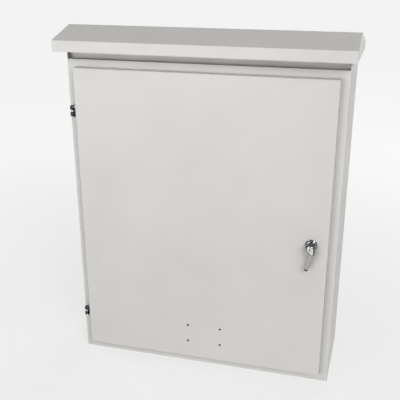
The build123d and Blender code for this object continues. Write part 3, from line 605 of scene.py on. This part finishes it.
def rod(bm, place, radius, low, high, rounding=0.0, segments=4):
    """A round bar along a placed axis, with rounded rims."""
    centred = Matrix.Translation((0, 0, (low + high) / 2))
    made = bmesh.ops.create_cone(
        bm, cap_ends=True, segments=ROUND_STEPS, radius1=radius, radius2=radius, depth=high - low,
        matrix=place @ centred,
    )
    if rounding:
        edges = edges_of(made["verts"])
        rims = [edge for edge in edges if any(len(face.verts) > 4 for face in edge.link_faces)]
        bevel(bm, rims, rounding, segments)


def block(bm, low, high, place=None, rounding=0.0, segments=3):
    """A box between two corners, with rounded edges."""
    low, high = Vector(low), Vector(high)
    size = Matrix.Diagonal((*(high - low), 1.0))
    verts = bmesh.ops.create_cube(bm, size=1.0, matrix=Matrix.Translation((low + high) / 2) @ size)["verts"]
    if place:
        bmesh.ops.transform(bm, matrix=place, verts=verts)
    if rounding:
        bevel(bm, edges_of(verts), rounding, segments)


def hexagon(bm, place, flats, low, high, chamfer):
    """A hexagon prism across flats, with its edges chamfered."""
    upright = Matrix.Translation((0, 0, (low + high) / 2)) @ Matrix.Rotation(math.pi / 6, 4, "Z")
    radius = flats / math.sqrt(3)
    made = bmesh.ops.create_cone(
        bm, cap_ends=True, segments=6, radius1=radius, radius2=radius, depth=high - low,
        matrix=place @ upright,
    )
    bevel(bm, edges_of(made["verts"]), chamfer, segments=2)


def frame_ring(bm, width, height, band, depth, place, rounding):
    """A rectangular ring of a band's width, raised by a depth, with a rounded far side."""
    verts = bmesh.ops.create_grid(bm, x_segments=1, y_segments=1, size=0.5)["verts"]
    bmesh.ops.scale(bm, vec=(width, height, 1), verts=verts)
    hole = verts[0].link_faces[0]
    band_faces = bmesh.ops.inset_region(bm, faces=[hole], thickness=band, use_boundary=True)["faces"]
    bmesh.ops.delete(bm, geom=[hole], context="FACES_ONLY")
    raised = bmesh.ops.extrude_face_region(bm, geom=band_faces, use_keep_orig=True)["geom"]
    far = verts_in(raised)
    bmesh.ops.translate(bm, vec=(0, 0, depth), verts=far)
    bm.normal_update()
    rims = [edge for edge in edges_of(far) if any(abs(face.normal.z) < 0.5 for face in edge.link_faces)]
    rims = [edge for edge in rims if all(vert in far for vert in edge.verts)]
    shape = linked(far)
    bmesh.ops.transform(bm, matrix=place, verts=shape)
    bevel(bm, rims, rounding, segments=4)


def screw_head(bm, place, radius, height, slot, cross=False):
    """A round head on a disc, cut by a slot or a cross, that rises from the placed plane."""
    floor = height * SLOT_FLOOR
    rim = radius * HEAD_RIM
    turned(bm, ((0, 0), (radius, 0), (radius, floor), (0, floor)), place, SCREW_STEPS)
    parts = 4 if cross else 2
    for part in range(parts):
        turn = Matrix.Rotation(part * 2 * math.pi / parts, 4, "Z")
        piece = bmesh.ops.create_circle(bm, cap_ends=True, radius=radius, segments=CUT_STEPS)["verts"]
        sides = ((0, 1, 0), (1, 0, 0)) if cross else ((0, 1, 0),)
        for side in (turn @ Vector(side) for side in sides):
            geom = linked(vert for vert in piece if vert.is_valid)
            faces = list({face for vert in geom for face in vert.link_faces})
            cut = bmesh.ops.bisect_plane(
                bm, geom=geom + edges_of(geom) + faces, plane_co=side * slot / 2, plane_no=side,
                clear_inner=True,
            )
            piece = [vert for vert in verts_in(cut["geom"]) if vert.is_valid]
        lid = piece[0].link_faces[0]
        bmesh.ops.translate(bm, vec=(0, 0, floor), verts=lid.verts)
        raised = bmesh.ops.extrude_face_region(bm, geom=[lid])["geom"]
        bmesh.ops.translate(bm, vec=(0, 0, height - floor), verts=verts_in(raised))
        bmesh.ops.transform(bm, matrix=place, verts=linked(verts_in(raised)))
        bevel(bm, list({edge for face in faces_in(raised) for edge in face.edges}), rim, segments=2)


def thread(low, high, radius, pitch, depth):
    """Profile of a threaded shank, from its foot to its chamfered end."""
    profile = [(0, low), (radius, low)]
    height = low + pitch / 2
    while height < high - pitch:
        profile += [(radius, height), (radius - depth, height + pitch / 2)]
        height += pitch
    return profile + [(radius, high - pitch), (radius - depth, high), (0, high)]


def object_from(bm, name, material):
    """Makes a bmesh a smooth object at the origin."""
    bmesh.ops.recalc_face_normals(bm, faces=bm.faces)
    mesh = bpy.data.meshes.new(name)
    bm.to_mesh(mesh)
    bm.free()
    mesh.polygons.foreach_set("use_smooth", [True] * len(mesh.polygons))
    mesh.materials.append(material)
    made = bpy.data.objects.new(name, mesh)
    bpy.context.scene.collection.objects.link(made)
    return made


def piece_from(bm, name, finish_name, body, *nodes, slot=None):
    """Makes a bmesh a piece on a body, in place of CAD nodes. The slot argument is not used."""
    bmesh.ops.remove_doubles(bm, verts=bm.verts, dist=MERGE)
    piece = object_from(bm, name, finish(finish_name))
    piece.data.set_sharp_from_angle(angle=SHARP_ANGLE)
    slot = slot or finish_name
    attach(piece, body)
    if nodes:
        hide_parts(*nodes)


def middle(node):
    """Centre of a CAD node's box."""
    low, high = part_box(node)
    return (low + high) / 2


def corners(node, inset):
    """Centres of four like solids at the corners of a node's box, seen from the front."""
    low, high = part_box(node)
    return [(x, z) for x in (low.x + inset, high.x - inset) for z in (low.z + inset, high.z - inset)]


class BOX_OT_sheet_metal(bpy.types.Operator):
    """Paint the cabinet, the hood and the door"""

    bl_idname = "box.sheet_metal"
    bl_label = "Paint the sheet metal"

    def execute(self, context):
        coat("cabinet_paint", "cabinet_body", "rain_hood", "hood_brackets")
        coat("door_paint", "door_panel")
        return {"FINISHED"}


class BOX_OT_hinges(bpy.types.Operator):
    """Model the rounded knuckles of both hinges"""

    bl_idname = "box.hinges"
    bl_label = "Model the hinges"

    def execute(self, context):
        settings = context.scene.box_hinges
        foot, arm = settings.foot / 2, settings.arm / 2
        edge = arm / 4
        bases, leaves = bmesh.new(), bmesh.new()
        for hinge in ("upper", "lower"):
            pin = middle(f"{hinge}_hinge_pin")
            axis = Matrix.Translation((pin.x, pin.y, 0))
            low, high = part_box(f"{hinge}_hinge_base")
            radius = pin.y - low.y
            rod(bases, axis, radius, low.z, high.z, settings.rounding, KNUCKLE_SEGMENTS)
            block(bases, (pin.x - foot, pin.y, low.z), (pin.x + foot, high.y, high.z), rounding=edge)
            low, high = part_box(f"{hinge}_hinge_leaf")
            rod(leaves, axis, radius, low.z, high.z, settings.rounding, KNUCKLE_SEGMENTS)
            corner = (pin.x, pin.y - arm, low.z + edge)
            block(leaves, corner, (high.x, pin.y + arm, high.z - edge), rounding=edge)
        piece_from(bases, "hinge_bases", "hinge_plating", "cabinet", "upper_hinge_base", "lower_hinge_base")
        piece_from(leaves, "hinge_leaves", "hinge_plating", "door", "upper_hinge_leaf", "lower_hinge_leaf")
        coat("lock_chrome", "upper_hinge_pin", "lower_hinge_pin")
        return {"FINISHED"}


class BOX_OT_lock(bpy.types.Operator):
    """Model the lock's rose, handle and nut"""

    bl_idname = "box.lock"
    bl_label = "Model the lock"

    def execute(self, context):
        settings = context.scene.box_lock
        coat("lock_chrome", "key_plug")
        coat("dark_plastic", "handle_tip")
        coat("zinc_sheet", "lock_cam")
        plug = middle("key_plug")
        door_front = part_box("door_panel")[0].y
        place = Matrix.Translation((plug.x, door_front, plug.z)) @ FACE_FRONT
        root = Matrix.Translation((settings.root_shift, -settings.root_drop, 0))
        self.rose(settings, door_front, place)
        self.handle(settings, door_front, place)
        self.lever(settings, door_front, place @ root @ Matrix.Rotation(-settings.lean, 4, "Z"))
        self.fixings(context.scene.box_fasteners, plug)
        return {"FINISHED"}

    def rose(self, settings, door_front, place):
        """Domed escutcheon with its sleeve through the door."""
        low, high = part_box("lock_body")
        radius = (high.x - low.x) / 2
        height, back = door_front - low.y, door_front - high.y
        bore = settings.spindle + settings.play
        profile = [
            (bore, back), (settings.sleeve, back), (settings.sleeve, 0.0), (radius, 0.0),
            (radius, height * ROSE_EDGE),
        ]
        for step in range(DOME_STEPS + 1):
            turn = step * math.pi / 2 / DOME_STEPS
            lean = settings.dome * (1 - math.cos(turn))
            rise = DOME_FOOT + (1 - DOME_FOOT) * math.sin(turn)
            profile.append((radius - settings.brim - lean, height * rise))
        bm = bmesh.new()
        turned(bm, (*profile, (bore, height), (bore, back)), place, ROSE_STEPS)
        piece_from(bm, "lock_rose", "rose_chrome", "door", "lock_body", slot="lock_chrome")

    def handle(self, settings, door_front, place):
        """Egg-shaped head with a dark rim, partly painted shade, and a bright face, on a boss and a spindle.
        """
        front = door_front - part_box("lock_handle")[0].y
        rose = door_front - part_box("lock_body")[0].y
        cam_low, cam_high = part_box("lock_cam")
        back = front - settings.setback - settings.thickness
        rim, face = bmesh.new(), bmesh.new()
        self.egg(rim, settings, 0.0, back, front - settings.inlay / 2, settings.rounding)
        foot = front - settings.inlay
        self.egg(face, settings, settings.rim, foot, front, settings.inlay / 2, through=True)
        bmesh.ops.transform(rim, matrix=place, verts=rim.verts)
        bmesh.ops.transform(face, matrix=place, verts=face.verts)
        rod(rim, place, settings.head, rose + settings.gap, back, settings.boss_rounding)
        rod(rim, place, settings.spindle, door_front - cam_low.y, rose + settings.spindle_end)
        half = settings.square / 2
        low, high = (-half, -half, door_front - cam_high.y), (half, half, door_front - cam_low.y)
        block(rim, low, high, place, FINE_EDGE)
        piece_from(rim, "handle_head", "lock_rim", "handle", "lock_handle", slot="lock_chrome")
        piece_from(face, "handle_face", "lock_chrome", "handle")

    def egg(self, bm, settings, inset, back, front, rounding, through=False):
        """Egg-shaped slab with a rounded front edge and a bore for the key plug."""
        plug_low, plug_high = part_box("key_plug")
        bore = (plug_high.x - plug_low.x) / 2 + settings.play
        outline = bmesh.ops.create_circle(bm, cap_ends=True, radius=1.0, segments=HEAD_STEPS)["verts"]
        for vert in outline:
            facing = vert.co.copy()
            wide = facing * (settings.head - inset)
            narrow = facing * (settings.lobe - inset) + Vector((settings.shift, -settings.drop, 0))
            vert.co = max(wide, narrow, key=facing.dot)
        bmesh.ops.translate(bm, vec=(0, 0, back), verts=outline)
        raised = bmesh.ops.extrude_face_region(bm, geom=bm.faces[:], use_keep_orig=True)["geom"]
        bmesh.ops.translate(bm, vec=(0, 0, front - back), verts=verts_in(raised))
        bevel(bm, list(faces_in(raised)[0].edges), rounding, HEAD_SEGMENTS)
        lid = max(bm.faces, key=lambda face: face.calc_center_median().z)
        edge = list(lid.edges)
        bmesh.ops.delete(bm, geom=[lid], context="FACES_ONLY")
        mouth = bmesh.ops.create_circle(
            bm, radius=bore, segments=HEAD_STEPS, matrix=Matrix.Translation((0, 0, front))
        )["verts"]
        mouth_edges = edges_of(mouth)
        bmesh.ops.bridge_loops(bm, edges=edge + mouth_edges)
        floor = verts_in(bmesh.ops.extrude_edge_only(bm, edges=mouth_edges)["geom"])
        ring = [edge for edge in edges_of(floor) if all(vert in floor for vert in edge.verts)]
        if through:
            base = min(bm.faces, key=lambda face: face.calc_center_median().z)
            ring += base.edges
            bmesh.ops.translate(bm, vec=(0, 0, back - front), verts=floor)
            bmesh.ops.delete(bm, geom=[base], context="FACES_ONLY")
            bmesh.ops.bridge_loops(bm, edges=ring)
        else:
            bmesh.ops.translate(bm, vec=(0, 0, KEY_BORE * (back - front)), verts=floor)
            bmesh.ops.contextual_create(bm, geom=ring)

    def lever(self, settings, door_front, place):
        """Tapered lever with a ridge between two facets."""
        front = door_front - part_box("lock_handle")[0].y - settings.setback
        back = front - settings.thickness
        arc = [math.radians(angle) for angle in LEVER_ARC]
        stations = [(settings.root * math.sin(turn), settings.root * math.cos(turn)) for turn in arc]
        for step in range(LEVER_STEPS + 1):
            share = step / LEVER_STEPS
            stations.append((-settings.reach * share, settings.root + (settings.end - settings.root) * share))
        (start, wide), *later = stations
        shoulder, corner = front - settings.shoulder, front - settings.corner
        section = (
            (-wide, back), (wide, back), (wide, shoulder), (wide * FACET, corner),
            (0.0, front + settings.ridge), (-wide * FACET, corner), (-wide, shoulder),
        )
        bm = bmesh.new()
        face = bm.faces.new([bm.verts.new((x, start, height)) for x, height in section])
        inner = []
        for along, half in later:
            grown = bmesh.ops.extrude_face_region(bm, geom=[face])["geom"]
            face = faces_in(grown)[0]
            inner.append(face)
            bmesh.ops.translate(bm, vec=(0, along - start, 0), verts=verts_in(grown))
            bmesh.ops.scale(bm, vec=(half / wide, 1, 1), verts=verts_in(grown))
            start, wide = along, half
        bmesh.ops.delete(bm, geom=inner[:-1], context="FACES_ONLY")
        for vert in bm.verts:
            if vert.co.z > front:
                vert.co.z = front + settings.ridge * min(1.0, 1 + RIDGE_FALL * vert.co.y / settings.reach)
        bmesh.ops.transform(bm, matrix=place, verts=bm.verts)
        piece_from(bm, "handle_lever", "lever_casting", "handle", slot="lock_chrome")

    def fixings(self, settings, plug):
        """Ring nut inside the door and the screw that holds the cam."""
        inside = Matrix.Translation((plug.x, 0, plug.z)) @ FACE_BACK
        low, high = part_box("lock_nut")
        nut = bmesh.new()
        turn = Matrix.Rotation(math.pi / 6, 4, "Z")
        hexagon(nut, inside @ turn, high.x - low.x, low.y, high.y, settings.chamfer)
        piece_from(nut, "lock_ring_nut", "zinc_fastener", "door", "lock_nut")
        low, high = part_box("cam_screw")
        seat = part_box("lock_cam")[1].y
        screw = bmesh.new()
        place = inside @ Matrix.Translation((0, 0, seat))
        radius = (high.x - low.x) / 2
        screw_head(screw, place, radius, high.y - seat, settings.slot * CAM_SLOT, cross=True)
        piece_from(screw, "cam_fixing", "zinc_fastener", "handle", "cam_screw")


class BOX_OT_mounting_plate(bpy.types.Operator):
    """Give the plate, the rails and the gland plate their zinc"""

    bl_idname = "box.mounting_plate"
    bl_label = "Finish the plate and rails"

    def execute(self, context):
        coat("zinc_sheet", "mounting_plate", "upper_rail", "lower_rail", "gland_plate")
        return {"FINISHED"}


class BOX_OT_fasteners(bpy.types.Operator):
    """Model the threaded studs, nuts and screws, and finish the hood's bolts"""

    bl_idname = "box.fasteners"
    bl_label = "Model the fasteners"

    def execute(self, context):
        settings = context.scene.box_fasteners
        coat("zinc_fastener", "hood_bolts", "hood_nuts")
        self.plate_studs(settings)
        self.earth_studs(settings)
        self.rail_screws(settings)
        self.gland_screws(settings)
        return {"FINISHED"}

    def plate_studs(self, settings):
        """Shouldered studs and flange nuts of the mounting plate."""
        studs, nuts = bmesh.new(), bmesh.new()
        low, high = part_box("plate_studs")
        nut_low, nut_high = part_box("plate_nuts")
        shoulder, shank, plate = 0.007, 0.004, 0.002
        flange, flange_height, flats, flats_foot = 0.009, 0.0018, 0.013, 0.0012
        seat = high.y - nut_high.y - plate
        for x, z in corners("plate_studs", shoulder):
            place = Matrix.Translation((x, high.y, z)) @ FACE_FRONT
            rod(studs, place, shoulder, 0.0, seat, settings.chamfer, segments=2)
            shape = thread(seat, high.y - low.y, shank, settings.pitch, settings.thread_depth)
            turned(studs, shape, place, SCREW_STEPS)
            place = Matrix.Translation((x, nut_high.y, z)) @ FACE_FRONT
            rod(nuts, place, flange, 0.0, flange_height, settings.chamfer, segments=2)
            hexagon(nuts, place, flats, flats_foot, nut_high.y - nut_low.y, settings.chamfer)
        piece_from(studs, "threaded_studs", "zinc_fastener", "cabinet", "plate_studs")
        piece_from(nuts, "flange_nuts", "zinc_fastener", "cabinet", "plate_nuts")

    def earth_studs(self, settings):
        """Earth studs on the cabinet's side and on the door, each with a flange nut."""
        shank, flange, flange_height = 0.003, 0.007, 0.0014
        flats, flats_foot, nut_height = 0.010, 0.0010, 0.0064
        pitch, depth = settings.pitch * EARTH_THREAD, settings.thread_depth * EARTH_THREAD
        for carrier, body, facing in (("body", "cabinet", FACE_RIGHT), ("door", "door", FACE_BACK)):
            node = f"{carrier}_earth_stud"
            low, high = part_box(node)
            foot = middle(node)
            reach = high.x - low.x
            if carrier == "body":
                foot.x = low.x
            else:
                foot.y, reach = low.y, high.y - low.y
            place = Matrix.Translation(foot) @ facing
            stud, nut = bmesh.new(), bmesh.new()
            turned(stud, thread(0.0, reach, shank, pitch, depth), place, SCREW_STEPS)
            rod(nut, place, flange, 0.0, flange_height, FINE_EDGE, segments=2)
            hexagon(nut, place, flats, flats_foot, nut_height, settings.chamfer)
            piece_from(stud, f"{carrier}_earth_thread", "zinc_fastener", body, node)
            piece_from(nut, f"{carrier}_earth_fixing", "zinc_fastener", body, f"{carrier}_earth_nut")

    def rail_screws(self, settings):
        """Cross-head screws that hold the rails."""
        bm = bmesh.new()
        head, height = 0.0045, 0.003
        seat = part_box("rail_screws")[0].y + height
        for x, z in corners("rail_screws", head):
            place = Matrix.Translation((x, seat, z)) @ FACE_FRONT
            screw_head(bm, place, head, height, settings.slot * CROSS_SLOT, cross=True)
        piece_from(bm, "rail_fixings", "zinc_fastener", "cabinet", "rail_screws")

    def gland_screws(self, settings):
        """Cross-head screws of the gland plate, with plain shanks."""
        bm = bmesh.new()
        head, height, shank = 0.0045, 0.0026, 0.0025
        low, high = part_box("gland_screws")
        seat = high.z - height
        for x in (low.x + head, high.x - head):
            for y in (low.y + head, high.y - head):
                place = Matrix.Translation((x, y, seat))
                screw_head(bm, place, head, height, settings.slot * CROSS_SLOT, cross=True)
                rod(bm, Matrix.Translation((x, y, 0)), shank, low.z, seat, FINE_EDGE, segments=2)
        piece_from(bm, "gland_fixings", "zinc_fastener", "cabinet", "gland_screws")


class BOX_OT_switches(bpy.types.Operator):
    """Finish the main switch and the breakers, with terminal screws and blank labels"""

    bl_idname = "box.switches"
    bl_label = "Finish the switches"

    def execute(self, context):
        slot = context.scene.box_fasteners.slot
        cases = ["main_switch", *(f"breaker_{number}" for number in BREAKERS)]
        coat("switch_case", *cases)
        coat("dark_plastic", "main_switch_toggle", *(f"breaker_toggle_{number}" for number in BREAKERS))
        module, terminal, sunk, head, head_height = 0.018, 0.03425, 0.0255, 0.003, 0.0025
        label_low, label_high, label_rise, margin = 0.0125, 0.0195, 0.0003, 0.0022
        screws, labels = bmesh.new(), bmesh.new()
        for case in cases:
            low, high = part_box(case)
            centre = (low + high) / 2
            poles = max(1, round((high.x - low.x) / module))
            for pole in range(poles):
                x = centre.x + (pole - (poles - 1) / 2) * module
                for side in (-terminal, terminal):
                    place = Matrix.Translation((x, low.y + sunk, centre.z + side)) @ FACE_FRONT
                    screw_head(screws, place, head, head_height, slot, cross=True)
            strip = (high.x - low.x) / 2 - margin
            block(
                labels, (centre.x - strip, low.y - label_rise, centre.z + label_low),
                (centre.x + strip, low.y + label_rise, centre.z + label_high), rounding=label_rise / 2,
                segments=1,
            )
        piece_from(screws, "terminal_screws", "zinc_fastener", "cabinet")
        piece_from(labels, "blank_labels", "blank_label", "cabinet", slot="switch_case")
        return {"FINISHED"}


class BOX_OT_terminal_bars(bpy.types.Operator):
    """Finish the neutral and earth bars and model their clamp screws"""

    bl_idname = "box.terminal_bars"
    bl_label = "Finish the terminal bars"

    def execute(self, context):
        slot = context.scene.box_fasteners.slot
        coat("bar_brass", "neutral_bar", "earth_bar")
        coat("neutral_insulator", "neutral_bar_feet")
        coat("earth_spacer", "earth_bar_feet")
        clamps, spacing = 8, 0.012
        for bar in ("neutral", "earth"):
            low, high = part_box(f"{bar}_bar_screws")
            centre = (low + high) / 2
            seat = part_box(f"{bar}_bar")[0].y
            radius = (high.z - low.z) / 2
            places = [low.x + radius, high.x - radius]
            places += [centre.x + (number - (clamps - 1) / 2) * spacing for number in range(clamps)]
            screws = bmesh.new()
            for x in places:
                place = Matrix.Translation((x, seat, centre.z)) @ FACE_FRONT
                screw_head(screws, place, radius, seat - low.y, slot)
            piece_from(screws, f"{bar}_clamp_screws", "zinc_fastener", "cabinet", f"{bar}_bar_screws")
        return {"FINISHED"}


class BOX_OT_seals(bpy.types.Operator):
    """Model the door's seal, the gasket and the stepped cable grommets"""

    bl_idname = "box.seals"
    bl_label = "Model the seals"

    def execute(self, context):
        settings = context.scene.box_seals
        low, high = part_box("door_seal")
        size = high - low
        seal = bmesh.new()
        place = Matrix.Translation(((low.x + high.x) / 2, low.y, (low.z + high.z) / 2)) @ FACE_BACK
        frame_ring(seal, size.x, size.z, settings.seal, size.y, place, settings.bead)
        piece_from(seal, "foam_seal", "seal_rubber", "door", "door_seal")
        low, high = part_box("gland_gasket")
        size = high - low
        gasket = bmesh.new()
        place = Matrix.Translation(((low.x + high.x) / 2, (low.y + high.y) / 2, low.z))
        frame_ring(gasket, size.x, size.y, settings.gasket, size.z, place, size.z / 4)
        piece_from(gasket, "entry_gasket", "seal_rubber", "cabinet", "gland_gasket")
        grommets = bmesh.new()
        nodes = [f"cable_grommet_{number}" for number in GROMMETS]
        for node in nodes:
            self.grommet(grommets, settings, node)
        piece_from(grommets, "stepped_grommets", "seal_rubber", "cabinet", *nodes)
        return {"FINISHED"}

    def grommet(self, bm, settings, node):
        """Blind grommet whose skin climbs in steps, for cutting to a cable's size."""
        low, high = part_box(node)
        centre = (low + high) / 2
        flange = (high.x - low.x) / 2
        neck, lip, skin = settings.neck, settings.lip, settings.skin
        plate_low, plate_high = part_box("gland_plate")
        lower, upper = plate_low.z, plate_high.z
        rise = (high.z - upper - lip) / TIERS
        shrink = neck / (2 * TIERS)
        taper = shrink * TIER_TAPER
        edge = lip / 3
        outer, inner = [], []
        for step in range(TIERS):
            base = upper + lip + step * rise
            radius = neck - step * shrink
            outer += [(radius, base), (radius - taper, base + rise)]
            inner += [(radius - skin, base - skin), (radius - taper - skin, base + rise - skin)]
        profile = [
            (0.0, high.z), *reversed(outer), (flange - edge, upper + lip),
            (flange, upper + lip * (1 - LIP_ROUND)), (flange, upper), (neck, upper), (neck, lower),
            (flange, lower), (flange, low.z + lip * LIP_ROUND), (flange - edge, low.z), (neck - skin, low.z),
            *inner, (0.0, high.z - skin),
        ]
        turned(bm, profile, Matrix.Translation((centre.x, centre.y, 0)), GROMMET_STEPS)


class BOX_OT_stage(bpy.types.Operator):
    """Set the floor, the lamps and the camera"""

    bl_idname = "box.stage"
    bl_label = "Set the stage"

    def execute(self, context):
        scene = context.scene
        settings = scene.box_stage
        scene.view_settings.view_transform = "Standard"
        self.backdrop(settings)
        self.room(scene, settings)
        for name, location, size in LAMPS:
            self.lamp(name, Vector(location), size, getattr(settings, name))
        data = bpy.data.cameras.new("camera")
        data.lens = settings.lens
        data.sensor_width = SENSOR_WIDTH
        data.shift_x, data.shift_y = settings.shift
        camera = bpy.data.objects.new("camera", data)
        camera.location = settings.location
        camera.rotation_euler = settings.turn
        scene.collection.objects.link(camera)
        scene.camera = camera
        return {"FINISHED"}

    def backdrop(self, settings):
        """Floor that curves up into a wall, and glows for the eye and in reflections."""
        bm = bmesh.new()
        side = ((FLOOR_FRONT, FLOOR_LEVEL), (WALL_BACK, FLOOR_LEVEL), (WALL_BACK, WALL_TOP))
        verts = [bm.verts.new((-FLOOR_HALF_WIDTH, y, z)) for y, z in side]
        edges = [bm.edges.new(pair) for pair in zip(verts, verts[1:])]
        swept = bmesh.ops.extrude_edge_only(bm, edges=edges)["geom"]
        bmesh.ops.translate(bm, vec=(2 * FLOOR_HALF_WIDTH, 0, 0), verts=verts_in(swept))
        fold = [edge for edge in bm.edges if len(edge.link_faces) == 2]
        bevel(bm, fold, COVE, COVE_STEPS)
        made = Finish("backdrop_paper", specular=0.2)
        ray = made.node("ShaderNodeLightPath").outputs
        mirrored = made.either(ray["Is Glossy Ray"], ray["Is Transmission Ray"])
        seen = made.either(ray["Is Camera Ray"], mirrored)
        across = made.vector("MULTIPLY", made.place, (1.0, 1.0, 0.0))
        distance = made.vector("LENGTH", across, output="Value")
        fade = made.spread(distance, 0.0, 1.0, GLOW_NEAR, GLOW_FAR)
        kept = made.blend(fade, settings.paper, BLACK)
        made.set("Base Color", made.blend(seen, settings.floor, kept))
        made.set("Roughness", PAPER_ROUGHNESS)
        rise = made.spread(distance, settings.glow, settings.far_glow, GLOW_NEAR, GLOW_FAR)
        glow = made.node("ShaderNodeMath", {0: seen, 1: rise}, operation="MULTIPLY")
        made.set("Emission Color", rgba(WHITE))
        made.set("Emission Strength", glow.outputs[0])
        backdrop = object_from(bm, "backdrop", made.material)

    def room(self, scene, settings):
        """A room that is dim at the height of the eye and dark overhead, but pale in the picture."""
        world = bpy.data.worlds.new("room")
        scene.world = world
        world.use_nodes = True
        made = Nodes(world.node_tree)
        facing = made.node("ShaderNodeTexCoord").outputs["Generated"]
        inputs = {
            "Value": made.node("ShaderNodeSeparateXYZ", {0: facing}).outputs["Z"],
            "From Min": ROOM_LOW,
            "From Max": ROOM_HIGH,
            "To Min": settings.horizon,
            "To Max": settings.ceiling,
        }
        level = made.node("ShaderNodeMapRange", inputs, interpolation_type="SMOOTHSTEP").outputs["Result"]
        seen = made.node("ShaderNodeLightPath").outputs["Is Camera Ray"]
        strength = made.node("ShaderNodeMix", {0: seen, 2: level, 3: settings.beyond}).outputs[0]
        sky = made.tree.nodes["Background"]
        sky.inputs["Color"].default_value = rgba(WHITE)
        made.tree.links.new(strength, sky.inputs["Strength"])

    def lamp(self, name, location, size, watts):
        """A soft rectangular lamp that faces the box."""
        data = bpy.data.lights.new(name, "AREA")
        data.shape = "RECTANGLE"
        data.size, data.size_y = size
        data.energy = watts
        lamp = bpy.data.objects.new(name, data)
        lamp.location = location
        lamp.rotation_euler = (LAMP_AIM - location).to_track_quat("-Z", "Y").to_euler()
        lamp.visible_camera = False
        bpy.context.scene.collection.objects.link(lamp)


OPERATORS = (
    BOX_OT_sheet_metal,
    BOX_OT_hinges,
    BOX_OT_lock,
    BOX_OT_mounting_plate,
    BOX_OT_fasteners,
    BOX_OT_switches,
    BOX_OT_terminal_bars,
    BOX_OT_seals,
    BOX_OT_stage,
)


class BOX_PT_panel(bpy.types.Panel):
    """Lists the settings and the steps that build the box's looks"""

    bl_idname = "BOX_PT_panel"
    bl_label = "Distribution box"
    bl_space_type = "VIEW_3D"
    bl_region_type = "UI"
    bl_category = "Distribution box"

    def draw(self, context):
        layout = self.layout
        for name, group in SETTINGS.items():
            column = layout.column(align=True)
            column.label(text=group.__doc__)
            for key in group.__annotations__:
                column.prop(getattr(context.scene, name), key)
        for operator in OPERATORS:
            layout.operator(operator.bl_idname)


def register():
    """Registers the settings, the steps and the panel."""
    for name, group in SETTINGS.items():
        bpy.utils.register_class(group)
        setattr(bpy.types.Scene, name, PointerProperty(type=group))
    for operator in OPERATORS:
        bpy.utils.register_class(operator)
    bpy.utils.register_class(BOX_PT_panel)


def unregister():
    """Takes back what register added."""
    bpy.utils.unregister_class(BOX_PT_panel)
    for operator in reversed(OPERATORS):
        bpy.utils.unregister_class(operator)
    for name, group in SETTINGS.items():
        delattr(bpy.types.Scene, name)
        bpy.utils.unregister_class(group)


def main():
    """Builds every piece and sets the stage."""
    register()
    for operator in OPERATORS:
        group, step = operator.bl_idname.split(".")
        getattr(getattr(bpy.ops, group), step)()


if __name__ == "__main__":
    main()
